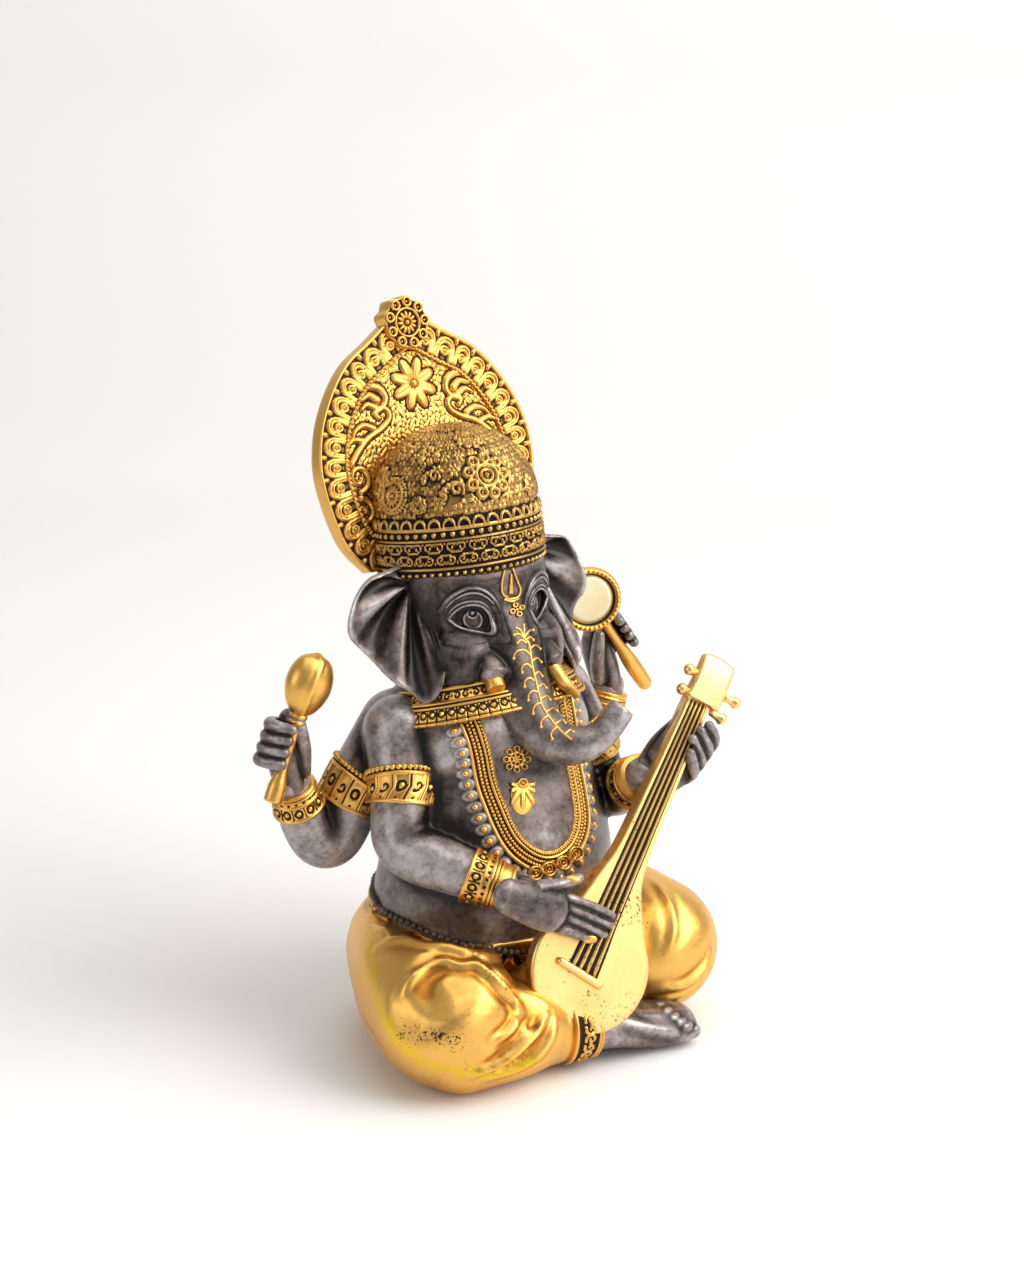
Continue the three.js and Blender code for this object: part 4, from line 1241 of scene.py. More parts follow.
# %% Model the crown
CROWN_LEAN = math.radians(9.8)
CROWN_RADIUS = 24.1
BACK_FLATTENING = 0.72
CROWN = axes((0, 14.6, 131), (0, math.sin(CROWN_LEAN), math.cos(CROWN_LEAN)), (0, 1, 0))
BAND_STATIONS = [(15, -2.2), (22.6, -2.4), (24.1, -1.9), (24.35, 1), (24.4, 6), (24.3, 11), (23.9, 14.6)]
DOME_STATIONS = [(22.4, 12), (23.7, 16), (22.9, 20.8), (21.4, 24.9), (18.8, 29.2), (15.2, 32.6), (10.8, 35.3)]
BAND_PROFILE = even_line([*BAND_STATIONS, (22.6, 15.2)], 300)
DOME_PROFILE = even_line([*DOME_STATIONS, (5.4, 37.1), (0, 37.5)], 300)
AROUND = 2 * math.pi * CROWN_RADIUS
SEEN_TURN = -VIEW_TURN


def crown_turn(u):
    """The turn round the crown, with the columns packed closer on the side that the photograph shows."""
    even = (u - 0.5) * 2 * math.pi
    return SEEN_TURN + even - 0.42 * np.sin(even)


def crown_place(turn, height, radius):
    y = -radius * np.cos(turn)
    return placed(CROWN, radius * np.sin(turn), np.where(y > 0, y * BACK_FLATTENING, y), height)


def crown_sheet(profile):
    def place(u, v):
        radius, height = on_profile(profile, v)
        return crown_place(crown_turn(u), height, radius)

    return place


SCROLL_PAIRS, ARCHES, LOWER_BEADS, UPPER_BEADS = 25, 37, 67, 58


def crown_band(x, h):
    """The band's height map: x runs round the crown and h up it."""
    pitch = AROUND / SCROLL_PAIRS
    here = np.abs(folded(x, pitch))
    between = np.abs(folded(x + pitch / 2, pitch))
    spiral = curl(1.28, 1.15, 1, -2.6)
    bridge = [(0, 1.35), (0.7, 1.2), (1.35, 1.28)]
    rows = []
    for across, rise in ((here, h - 3.1), (between, 6.5 - h)):
        rows.append(stroke(across - 1.5, rise, spiral, 0.25, 0.1))
        rows.append(stroke(across, rise, bridge, 0.22, 0))
        rows.append(boss(across - pitch / 2, rise + 0.9, 0.34))
        rows.append(boss(across, rise + 1.0, 0.3))
    arch_x = folded(x, AROUND / ARCHES)
    arches = hoop(arch_x, (h - 12.0) * 0.8, 1.55, 0.36) * (h > 11.9)
    return highest(
        beads(x, h + 0.9, AROUND / LOWER_BEADS, 0.62),
        ridge(h - 0.7, 0.36),
        *rows,
        ridge(h - 8.5, 0.34),
        beads(x, h - 9.9, AROUND / UPPER_BEADS, 0.8),
        ridge(h - 11.4, 0.36),
        arches,
    )


def rosette(x, y, size):
    return highest(
        loops(x, y, 9, size * 0.78, size * 0.19, size * 0.08),
        hoop(x, y, size * 0.47, size * 0.09),
        0.9 * hoop(x, y, size * 0.26, size * 0.06),
        boss(x, y, size * 0.12),
    )


def wheel(x, y, size):
    return highest(
        beads(np.arctan2(y, x) * size, np.hypot(x, y) - size * 0.92, size * 2 * math.pi / 28, size * 0.09),
        hoop(x, y, size * 0.72, size * 0.09),
        0.8 * petals(x, y, 14, size * 0.14, size * 0.62, size * 0.085),
        boss(x, y, size * 0.12),
    )


def blossom(x, y, size):
    return highest(
        petals(x, y, 5, size * 0.2, size, size * 0.3),
        loops(x, y, 5, size * 0.9, size * 0.16, size * 0.07, turn=math.pi / 5),
        boss(x, y, size * 0.2),
    )


def acanthus(x, y, size):
    """A leaf that curls in at one end and out at the other, like an S lying down."""
    head_curl = stroke(x - 0.45 * size, y - 0.2 * size, curl(0.62 * size, 1.2, 1, -0.6), 0.17 * size, 0.2)
    tail_curl = stroke(x + 0.75 * size, y + 0.3 * size, curl(0.4 * size, 1.0, 1, 2.6), 0.13 * size, 0.2)
    stem = [(-1.1 * size, -0.2 * size), (-0.4 * size, 0.5 * size), (0.4 * size, 0.85 * size)]
    leaf = leaf_scroll(x, y, stem, 0.3 * size, 4)
    return highest(head_curl, tail_curl, leaf)


def stamped(lift, points, centre, outward, rule, size):
    """Presses a motif into the dome's height map: inside its reach it takes the place of the ground."""
    origin, *ways = axes(centre, outward, CROWN[3])
    x, y, z = ((points - origin) @ way for way in ways)
    near = (np.hypot(x, y) < size * 1.06) & (np.abs(z) < 4.0)
    lift[near] = np.maximum(1.15 * rule(x[near], y[near], size), 0.1 * lift[near] - 0.2)


band_piece = sheet("crown_band", 620, 60, crown_sheet(BAND_PROFILE))
band_run = crown_turn(value_of(band_piece, "u")) * CROWN_RADIUS
band_radius, band_up = on_profile(BAND_PROFILE, value_of(band_piece, "v"))
on_wall = band_radius > 23.4
band_lift = crown_band(band_run, band_up) * on_wall
raise_relief(band_piece, np.where(on_wall, -0.4 + 0.95 * band_lift, 0), 1.3 * band_lift - 0.25)

dome = sheet("crown_dome", 400, 92, crown_sheet(DOME_PROFILE))
dome_run = crown_turn(value_of(dome, "u")) * CROWN_RADIUS
dome_share = value_of(dome, "v")
dome_arc = dome_share * 41.0
dome_points = points_of(dome)
LATTICE = 4.6
lattice_row = np.floor(dome_arc / LATTICE)
lattice_x = folded(dome_run + 2.65 * (lattice_row % 2), AROUND / 28)
lattice_y = folded(dome_arc - LATTICE / 2, LATTICE)
dome_lift = highest(
    0.08 * cobbles(dome_run, dome_arc, 1.5, 0.6),
    0.62 * petals(lattice_x, lattice_y, 6, 0.5, 2.3, 0.52),
    0.62 * boss(lattice_x, lattice_y, 0.5),
)
dome_surface = surface_of(dome)
SEEN_MOTIFS = [
    (487, 475, 6.6, rosette),
    (392, 496, 5.2, wheel),
    (452, 492, 3.3, acanthus),
    (430, 478, 2.6, acanthus),
    (428, 455, 3.6, blossom),
    (468, 438, 4.0, rosette),
    (405, 452, 3.0, blossom),
    (520, 452, 4.2, wheel),
    (418, 506, 2.4, rosette),
    (500, 432, 2.8, acanthus),
    (446, 428, 2.4, blossom),
]
UNSEEN_MOTIFS = [
    (36, 18.5, 3.8, blossom),
    (64, 20.0, 5.4, wheel),
    (62, 29.5, 3.4, rosette),
    (95, 25.0, 4.4, rosette),
    (-100, 24.5, 4.4, rosette),
]
for x, y, size, rule in SEEN_MOTIFS:
    stamped(dome_lift, dome_points, *seen(dome_surface, x, y), rule, size)
for degrees, height, size, rule in UNSEEN_MOTIFS:
    turn = math.radians(degrees)
    nearest = int(np.argmin(np.abs(DOME_PROFILE[:, 1] - height)))
    centre = crown_place(np.array([turn]), height, DOME_PROFILE[nearest, 0])[0]
    outward = np.array(dome_surface.find_nearest(Vector(centre) * MM)[1])
    stamped(dome_lift, dome_points, centre, outward, rule, size)
dome_shown = np.clip((dome_share - 0.05) / 0.02, 0, 1) * np.clip((0.995 - dome_share) / 0.03, 0, 1)
raise_relief(dome, dome_shown * (0.95 * dome_lift - 0.3), 0.36 + 0.85 * dome_lift)

# %% [markdown]
# ## Halo
# A pointed board behind the crown. Its sheet spreads from the middle to the outline, folds over the edge and
# comes back together behind. The border has shell-shaped lobes and a rope, the field has a flower and leafy
# scrolls, and a medallion crowns the point. The places are folded left to right, so both halves match.

# %% Model the halo
HALO_LEAN = math.radians(16.8)
HALO_HALF = 36.2
HALO_HEIGHT = 66.2
BORDER = 9.5
MEDALLION = 7.7
HALO = axes(
    (0, 19.6, 130),
    (0, -math.cos(HALO_LEAN), math.sin(HALO_LEAN)),
    (0, math.sin(HALO_LEAN), math.cos(HALO_LEAN)),
)
FLANK_SHARES = [(0.72, 0), (0.91, 0.145), (1, 0.4), (0.945, 0.585), (0.8, 0.74), (0.6, 0.865), (0.36, 0.945)]
FLANK_SHARES += [(0.2, 1)]
flank_stations = [(HALO_HALF * x, HALO_HEIGHT * y) for x, y in FLANK_SHARES]
outer_flank = np.concatenate([even_line(flank_stations, 160), [(0, HALO_HEIGHT + 3)]])
flank_ways = unit(np.gradient(outer_flank, axis=0))
inner_flank = outer_flank + BORDER * np.stack([-flank_ways[:, 1], flank_ways[:, 0]], axis=-1)
first_over = int(np.argmax(inner_flank[:, 0] < 0.5))
inner_flank[first_over:] = (0, inner_flank[first_over - 1, 1] + 1.6)
inner_flank[inner_flank[:, 1] < 0, 1] = 0
FLANK_LENGTH = length_of(outer_flank)
HALO_MIDDLE = np.array([0, 30.0])
FOOT_SHARE = 0.03


def halo_flank(u, line):
    """Places on a line of the halo at shares of the way round: under the foot, up one side and down again."""
    from_foot = np.clip((0.5 - np.abs(u - 0.5) - FOOT_SHARE) / (0.5 - FOOT_SHARE), 0, 1)
    place = spread(outer_flank, from_foot, line)
    under = np.clip((0.5 - np.abs(u - 0.5)) / FOOT_SHARE, 0, 1)
    place[:, 0] = place[:, 0] * under * np.where(u < 0.5, 1, -1)
    return place, from_foot * FLANK_LENGTH


BOARD_ROWS = [0, 0.03, 0.05, 0.07, 0.8, 0.83, 0.86, 0.92, 0.94, 1]


def halo_board(u, v):
    """The rows of the board: out behind the field, over the border, round the edge and in again behind."""
    outer, inner = halo_flank(u, outer_flank)[0], halo_flank(u, inner_flank)[0]
    front = np.interp(v, BOARD_ROWS, [0, 0, 0, 0, 1, 1, 1, 1, 1, 1])[:, None]
    reach = np.interp(v, BOARD_ROWS, [0, 0.97, 1, 1, 1, 1, 1, 1, 0.985, 0])[:, None]
    depth = np.interp(v, BOARD_ROWS, [-1.6, -1.6, -1.4, 0, -0.1, -0.7, -1.5, -4.4, -5, -5])
    flat = inner * (1 - front) + outer * front
    flat = HALO_MIDDLE + (flat - HALO_MIDDLE) * reach
    return placed(HALO, flat[:, 0], flat[:, 1], depth)


def shell_border(run, inset, pitch):
    """Shell-shaped lobes, each of nested arches that open inwards round a boss."""
    x = folded(run, pitch)
    arch = np.where(inset < 5.2, np.hypot(x, (inset - 5.2) * 0.82), np.abs(x))
    beyond = np.abs(folded(run + pitch / 2, pitch))
    lobes = highest(
        0.95 * ridge(arch - 2.75, 0.42),
        0.85 * ridge(arch - 1.9, 0.36),
        0.8 * hoop(x, inset - 5.4, 1.1, 0.32),
        boss(x, inset - 5.4, 0.55),
        0.9 * boss(beyond * 1.5, (inset - 1.5) * 0.9, 1.0),
        0.7 * boss(beyond * 2.0, (inset - 7.0) * 0.6, 0.9),
        0.75 * ridge(inset - 0.35, 0.5),
    )
    return np.where(inset < 8.2, lobes, 0)


halo = sheet("halo_board", 520, 54, halo_board)
halo_u, halo_v = value_of(halo, "u"), value_of(halo, "v")
halo_run = halo_flank(halo_u, outer_flank)[1]
halo_inset = BORDER * (0.8 - halo_v) / 0.73
on_border = (halo_v > 0.065) & (halo_v < 0.81) & (halo_run > 0.2)
lobe_pitch = FLANK_LENGTH / 13.5
border_lift = highest(
    shell_border(halo_run, halo_inset, lobe_pitch),
    ridge(halo_inset - 9.0, 0.62) * (0.6 + 0.4 * np.sin(halo_run * 2 * math.pi / 1.75)),
)
border_gilt = np.where(on_border, 0.42 + border_lift, 0.9)
raise_relief(halo, np.where(on_border, 0.95 * border_lift - 0.4, 0), border_gilt)


def field_flat(u, v):
    """Where the field's shares lie on the halo's own plane, with the rows closer towards the point."""
    y = 0.4 + v**0.8 * (inner_flank[-1, 1] - 1.0)
    half = np.interp(y, inner_flank[:, 1], inner_flank[:, 0]) + 0.35
    return (2 * u - 1) * half, y


def field_place(u, v):
    x, y = field_flat(u, v)
    return placed(HALO, x, y, -1.1 + 0 * x), np.broadcast_to(HALO[3], (len(u), 3))


def drawn_on_halo(places, count=26):
    """A line drawn through places in the photograph's frame, on the halo's own plane."""
    return np.array([seen_on_plane(HALO, x, y) for x, y in smooth(places, np.linspace(0, 1, count))])


SCROLL_STEM = [(499, 437), (488, 427), (476, 419), (462, 415), (452, 409), (449, 401), (455, 395)]
SCROLL_STEM += [(462, 398), (460, 404)]
SCROLL_LEAVES = [
    ([(480, 382), (471, 374), (459, 371), (449, 377), (447, 388), (454, 396), (463, 398)], 1.5),
    ([(455, 387), (461, 380), (470, 382)], 1.2),
    ([(459, 394), (466, 388), (473, 391)], 1.1),
    ([(468, 412), (476, 406), (485, 408), (491, 415)], 1.0),
    ([(482, 420), (490, 416), (498, 420), (501, 429)], 0.9),
    ([(485, 388), (492, 396), (493, 405)], 0.8),
]

FLOWER_UP = 49.2


def halo_field(x, y):
    """The field's height map: x is to the side, where the scrolls are folded, and y is up from the foot."""
    flower_y = y - FLOWER_UP
    side = np.abs(x)
    lines = [(side, y, drawn_on_halo(SCROLL_STEM), 1.05, 0.3)]
    lines += [(side, y, drawn_on_halo(leaf, 16), half, 0.5) for leaf, half in SCROLL_LEAVES]
    for across, up, flip in ((24.0, 26.0, -1), (24.4, 16.5, 1), (22.6, 7.0, -1)):
        lines.append((side - across, y - up, curl(4.0, 1.2, flip, flip * 1.6), 0.85, 0.3))
    motif = 0.9 * petals(side - 7.6, y - 60.0, 5, 0.3, 2.0, 0.6)
    cleared = np.zeros(len(x), bool)
    for across, up, line, half, taper in lines:
        motif = np.maximum(motif, 1.1 * stroke(across, up, line, half, taper))
        cleared = cleared | (stroke(across, up, line, half * 1.5, taper) > 0)
    petal = petals(x, flower_y, 8, 1.0, 7.7, 1.7, turn=math.pi / 8, groove=0.25)
    cleared = cleared | (petals(x, flower_y, 8, 0.6, 8.3, 2.2, turn=math.pi / 8, groove=0) > 0)
    motif = highest(motif, 1.1 * petal, 1.2 * boss(x, flower_y, 1.1))
    ground = 0.36 * cobbles(x + 0.8 * np.sin(0.9 * y), y + 0.8 * np.sin(1.1 * x), 1.7, 0.26)
    return np.where(motif > 0.03, motif, np.where(cleared, 0.02, ground))


field = laid_strip("halo_field", 210, 150, field_place, 0.6)
field_x, field_y = field_flat(value_of(field, "u"), value_of(field, "across"))
field_lift = halo_field(field_x, field_y)
field_shown = value_of(field, "shown") > 0.5
raise_relief(field, np.where(field_shown, 0.95 * field_lift, 0), 0.22 + 1.3 * field_lift)


def medallion_sheet(u, v):
    """A disc with nine lobes: its face, its edge and its back."""
    turn = 2 * math.pi * u
    rows = [0, 0.8, 0.86, 0.92, 1]
    lobed = MEDALLION - 0.45 + 0.45 * np.cos(9 * turn)
    reach = np.interp(v, rows, [0, 0.985, 1, 1, 0]) * lobed
    depth = np.interp(v, rows, [1.5, 1.5, 0.9, -4.2, -4.6])
    return placed(HALO, reach * np.cos(turn), HALO_HEIGHT + reach * np.sin(turn), depth)


medallion = sheet("halo_medallion", 180, 48, medallion_sheet)
medal_points = points_of(medallion) - HALO[0]
medal_x, medal_y = medal_points @ HALO[1], medal_points @ HALO[2] - HALO_HEIGHT
medal_lift = highest(
    loops(medal_x, medal_y, 9, 5.85, 1.2, 0.42),
    hoop(medal_x, medal_y, 3.95, 0.36),
    0.85 * petals(medal_x, medal_y, 12, 0.9, 3.4, 0.5, groove=0.2),
    boss(medal_x, medal_y, 0.8),
)
medal_front = value_of(medallion, "v") < 0.81
medal_gilt = np.where(medal_front, 1.2 * medal_lift - 0.02, 0.9)
raise_relief(medallion, np.where(medal_front, medal_lift - 0.5, 0), medal_gilt)

# %% [markdown]
# ## Bands on the arms
# Each arm wears an armlet and a wristlet. A band is a tube round the arm's own line, so it keeps the arm's
# bend and taper. Its relief is drawn unrolled, x round the arm and y along it, and both ends turn in under
# the skin, so that the band is closed.

# %% Model the armlets and wristlets
TURN_IN = 0.06
ARMLET_PANEL, WRISTLET_CELL = 4.6, 3.3


def armlet_rule(x, y, width):
    """Height and engraving of an armlet: a beaded edge over panels that hold a ring or a scroll by turns."""
    panel = folded(x, ARMLET_PANEL)
    scrolled = np.floor(x / ARMLET_PANEL + 0.5) % 2 > 0.5
    middle = y - 0.55 * width
    inner = (y > 2.4) & (y < width - 0.9)
    height = highest(
        beads(x, y - 0.75, 1.45, 0.66),
        0.6 * ridge(y - 2.1, 0.35),
        0.6 * ridge(y - width + 0.45, 0.4),
        np.where(scrolled, 0.3, 0.8) * boss(panel, middle, 0.55),
        0.7 * ridge(np.abs(panel) - 1.9, 0.25) * inner,
    )
    scroll = stroke(panel, middle, curl(1.35, 0.85, 1, 0.9), 0.36, 0.2)
    engraved = highest(
        np.where(scrolled, scroll, hoop(panel, middle, 1.12, 0.42)),
        ridge(np.abs(panel) - 2.3, 0.26) * inner,
        ridge(y - 1.5, 0.24),
        0.8 * boss(panel, y - width + 1.5, 0.35),
        np.where(y < 1.4, 1 - 1.6 * beads(x, y - 0.75, 1.45, 0.66), 0),
    )
    return height, engraved


def wristlet_rule(x, y, width):
    """Height and engraving of a wristlet: rings in square cells over rows of plain ridges."""
    cell = folded(x, WRISTLET_CELL)
    inner = np.abs(y - 2.2) < 1.5
    height = highest(
        0.7 * ridge(y - 0.4, 0.4),
        0.7 * boss(cell, y - 2.2, 0.45),
        0.8 * ridge(y - 4.1, 0.3),
        *(0.9 * ridge(y - row, 0.34) for row in (5.9, 6.9, 7.9)),
        0.9 * ridge(y - width + 0.5, 0.45),
    )
    engraved = highest(
        hoop(cell, y - 2.2, 0.92, 0.34),
        ridge(np.abs(cell) - 1.65, 0.24) * inner,
        0.9 * boss(folded(x, 2.2), y - 5.0, 0.42),
        0.6 * ridge(y - 6.4, 0.2),
        0.6 * ridge(y - 7.4, 0.2),
    )
    return height, engraved


def engrave(piece, height, engraved, shown, lift=0.6, gild=0.66):
    """Raises the bright motifs on a gilded ground, and sinks lines in it that hold the dark wash."""
    gilt = np.where(shown, gild + 0.4 * height - 1.1 * engraved, 0.5)
    raise_relief(piece, shown * lift * (height - 0.5 * engraved), gilt)


def band(name, stations, flat, start, end, stand_out, rule, columns, rows):
    """A band round a limb between two shares of its line, turned in at both ends and filled there."""
    line, radii = along_line(stations, np.linspace(start, end, 30), flat)[:2]
    width = length_of(line)

    def place(u, v):
        share = start + (end - start) * np.clip((v - TURN_IN) / (1 - 2 * TURN_IN), 0, 1)
        middle, radius, *_, side, through = along_line(stations, share, flat)
        sunk = np.clip(np.minimum(v, 1 - v) / TURN_IN, 0, 1)
        reach = (radius + stand_out) * (0.25 + 0.75 * sunk)
        turn = 2 * math.pi * u
        return middle + side * (reach * np.cos(turn))[:, None] + through * (reach * np.sin(turn))[:, None]

    piece = sheet(name, columns, rows, place)
    with editing(piece):
        bpy.ops.mesh.select_all(action="DESELECT")
        bpy.ops.mesh.select_non_manifold(extend=False, use_boundary=True)
        bpy.ops.mesh.edge_face_add()
        bpy.ops.mesh.select_all(action="SELECT")
        bpy.ops.mesh.normals_make_consistent(inside=False)
    v = value_of(piece, "v")
    shown = (v > TURN_IN) & (v < 1 - TURN_IN)
    y = width * (v - TURN_IN) / (1 - 2 * TURN_IN)
    pitch = 2 * (ARMLET_PANEL if rule is armlet_rule else WRISTLET_CELL)
    around = 2 * math.pi * (float(radii.mean()) + stand_out)
    cells = max(1, round(around / pitch)) * pitch
    height, engraved = rule(value_of(piece, "u") * cells, y, width)
    engrave(piece, height, engraved, shown)
    return piece


BAND_PLACES = {
    "front_arm_right": ((0.17, 0.31), (0.815, 0.955), 1.0),
    "front_arm_left": ((0.17, 0.31), (0.825, 0.955), 0.7),
    "rear_arm_right": ((0.2, 0.33), (0.85, 0.975), 1.0),
    "rear_arm_left": ((0.2, 0.33), (0.85, 0.975), 0.7),
}
bands = []
for arm, (upper, lower, fineness) in BAND_PLACES.items():
    rows = round(40 * fineness)
    bands.append(band("armlet", *ARMS[arm], *upper, 0.7, armlet_rule, round(172 * fineness), rows))
    bands.append(band("wristlet", *ARMS[arm], *lower, 0.9, wristlet_rule, round(130 * fineness), rows))
bands = joined("arm_bands", bands)

# %% [markdown]
# ## Collar
# The collar is a leaning ring over the shoulders: a profile spun round its own axis and squeezed from front
# to back. Relief alone would hardly show at this size, so the rows are engraved and the wash draws them.

# %% Model the collar
COLLAR = axes((0, 3.5, 94), (0, 0.3, 1), (0, 1, 0))
COLLAR_SQUEEZE = 0.82
COLLAR_PROFILE = even_line([(24.6, 5.2), (27.0, 2.4), (28.9, -0.6), (30.2, -4.2)], 60)
COLLAR_WIDTH = length_of(COLLAR_PROFILE)
COLLAR_CELLS = 58
COLLAR_PITCH = 2.9
COLLAR_FRONT = 0.84


def collar_sheet(u, v):
    """The front goes down the profile, and the last rows go up again behind it."""
    back = np.clip((v - COLLAR_FRONT) / (1 - COLLAR_FRONT), 0, 1)
    down = np.clip(v / COLLAR_FRONT, 0, 1) - back
    radius, height = on_profile(COLLAR_PROFILE, down)
    radius = radius - 1.8 * np.sin(math.pi * back)
    turn = crown_turn(u)
    return placed(COLLAR, radius * np.sin(turn), -radius * np.cos(turn) * COLLAR_SQUEEZE, height)


def collar_rule(x, y):
    """Rows of engraving down the collar: scrolls between two lines, and rings in square cells below."""
    cell = folded(x, COLLAR_PITCH)
    wide = folded(x, 2 * COLLAR_PITCH)
    height = highest(
        ridge(y - 0.5, 0.55),
        0.6 * ridge(y - 5.0, 0.35),
        0.6 * ridge(y - 6.1, 0.35),
        0.7 * boss(cell, y - 7.9, 0.42),
        0.9 * ridge(y - COLLAR_WIDTH + 0.45, 0.45),
    )
    engraved = highest(
        ridge(y - 1.3, 0.28),
        stroke(np.abs(wide) - 1.45, y - 3.0, curl(1.2, 1.0, 1, -2.0), 0.34, 0.2),
        0.8 * boss(wide, y - 3.0, 0.42),
        ridge(y - 5.55, 0.26),
        0.8 * ridge(y - 6.65, 0.2),
        hoop(cell, y - 7.9, 0.95, 0.3),
        ridge(np.abs(cell) - 1.45, 0.22) * (y > 6.6),
        0.8 * ridge(y - COLLAR_WIDTH + 1.1, 0.2),
    )
    return height, engraved


collar = sheet("collar", 410, 42, collar_sheet)
collar_v = value_of(collar, "v")
collar_run = crown_turn(value_of(collar, "u")) / (2 * math.pi) * COLLAR_CELLS * COLLAR_PITCH
collar_height, collar_engraved = collar_rule(collar_run, COLLAR_WIDTH * collar_v / COLLAR_FRONT)
engrave(collar, collar_height, collar_engraved, (collar_v > 0.001) & (collar_v < COLLAR_FRONT), 0.7, 0.6)

# %% [markdown]
# ## Necklace
# The necklace is a broad strap that hangs in a U. Its line is drawn in front view, and each place of the
# strap is laid on the chest by a ray, so that it follows the body. Along its outer side lies a row of grey
# cups with a gold stud in each: low buttons, balls pressed flat, set at equal steps along the line.

# %% Model the necklace
body_surface = surface_of(body)
STRAP_RIGHT = [(-20.0, 96), (-18.6, 86), (-17.4, 74), (-14.4, 61.5), (-8.0, 54.2)]
STRAP_LINE = [*STRAP_RIGHT, (-0.6, 51.8), *((-0.87 * x, z) for x, z in reversed(STRAP_RIGHT))]
strap_line = even_line(STRAP_LINE, 300)
STRAP_LENGTH = length_of(strap_line)
STRAP_WIDTH = 6.4
CUPS = 34
STRAP_PITCH = STRAP_LENGTH / CUPS


def chest_at(x, z):
    return met(body_surface, (x * 1.4, -95, z + 12), (-x * 0.4, 70, -12))


def beside_strap(u, offset):
    """Places at shares of the strap's line, offset towards its outer side, and the normals there."""
    ahead = spread(strap_line, np.clip(u + 0.004, 0, 1))
    behind = spread(strap_line, np.clip(u - 0.004, 0, 1))
    way = unit(ahead - behind)
    middle = (ahead + behind) / 2
    x = middle[:, 0] + way[:, 1] * offset
    z = middle[:, 1] - way[:, 0] * offset
    places, normals = zip(*(chest_at(a, b) for a, b in zip(x, z)))
    return np.array(places), np.array(normals)


def strap_rule(x, y):
    """y runs from the plain ridge beside the cups to the inner edge."""
    fine = folded(x, STRAP_PITCH / 3)
    return highest(
        1.15 * ridge(y - 0.7, 0.6),
        0.85 * boss(fine, y - 2.2, 0.5),
        0.85 * boss(folded(x + STRAP_PITCH / 6, STRAP_PITCH / 3), y - 3.4, 0.5),
        0.95 * ridge(y - 4.7, 0.4),
        0.6 * boss(fine, y - 5.6, 0.45),
    )


def strap_place(u, v):
    return beside_strap(u, (v - 0.5) * STRAP_WIDTH - 1.4)


strap = laid_strip("necklace", 560, 30, strap_place, 1.0)
strap_x = value_of(strap, "u") * STRAP_LENGTH
strap_y = (1 - value_of(strap, "across")) * STRAP_WIDTH
strap_height = strap_rule(strap_x, strap_y)
strap_shown = value_of(strap, "shown") > 0.5
raise_relief(strap, np.where(strap_shown, 0.3 + 0.8 * strap_height, 0), 0.05 + 1.2 * strap_height)


def button(place, outward, radius, rise, fineness=2, long_way=None):
    """A low round button: a ball pressed flat along a direction, and drawn out by half along another."""
    bpy.ops.mesh.primitive_ico_sphere_add(subdivisions=fineness, radius=radius * MM, location=(0, 0, 0))
    piece = bpy.context.object
    flat = points_of(piece)
    shaped = flat - np.outer(flat @ outward, outward) * (1 - rise / radius)
    if long_way is not None:
        shaped = shaped + 0.5 * np.outer(flat @ long_way, long_way)
    move_points(piece, place + shaped)
    keep_value(piece, "gilt", np.ones(len(flat)))
    bpy.ops.object.shade_smooth()
    return piece


cup_shares = (np.arange(CUPS) + 0.5) / CUPS
cup_places, cup_normals = beside_strap(cup_shares, np.full(CUPS, 3.6))
outer_places = beside_strap(cup_shares, np.full(CUPS, 5.0))[0]
cup_normals, cup_ways = unit(cup_normals), unit(outer_places - cup_places)
cups = [button(place, way, 1.72, 1.2, 3, out) for place, way, out in zip(cup_places, cup_normals, cup_ways)]
cups = joined("necklace_cups", cups)
studs = [button(place + way * 0.85, way, 1.0, 0.85) for place, way in zip(cup_places, cup_normals)]
strap = joined("necklace", [strap, *studs])

# %% [markdown]
# ## Pendant, forehead marks and vine
# These lie on forms that turn away from the view. So each is drawn as it shows there, on a patch over a box
# of the frame that is laid on the skin by rays, and only what stands up is kept and made thick. The vine is
# finer still: its stem and leaves are bevelled curves drawn over the trunk, with a dot at each leaf's tip.

# %% Lay ornaments by the view: the pendant, the forehead marks and the vine on the trunk
def view_patch(name, surface, box, step, rule, stand_out):
    """A patch over a box of the photograph's frame, laid on a surface and cut down to what is raised."""
    x_low, y_low, x_high, y_high = box
    columns, rows = round((x_high - x_low) / step), round((y_high - y_low) / step)

    def place(u, v):
        x = x_low + u * (x_high - x_low)
        y = y_low + v * (y_high - y_low)
        return np.array([seen(surface, a, b)[0] for a, b in zip(x, y)])

    piece = sheet(name, columns, rows, place)
    if (normals_of(piece) @ towards_eye).mean() < 0:
        with editing(piece):
            bpy.ops.mesh.flip_normals()
    scale = PIXELS_PER_UNIT / VIEW_DISTANCE
    x = (x_low + value_of(piece, "u") * (x_high - x_low)) / scale
    y = -(y_low + value_of(piece, "v") * (y_high - y_low)) / scale
    height = rule(x, y, scale)
    raised = height > 0.02
    raise_relief(piece, np.where(raised, 0.15 + stand_out * height, -0.3), 0.2 + 1.3 * height)
    with editing(piece):
        bpy.ops.mesh.select_mode(type="VERT")
        bpy.ops.mesh.select_all(action="DESELECT")
    piece.data.vertices.foreach_set("select", ~raised)
    bpy.ops.object.mode_set(mode="EDIT")
    bpy.ops.mesh.delete(type="VERT")
    bpy.ops.object.mode_set(mode="OBJECT")
    apply_modifier(piece, "SOLIDIFY", thickness=0.5 * MM, offset=-1)
    return piece


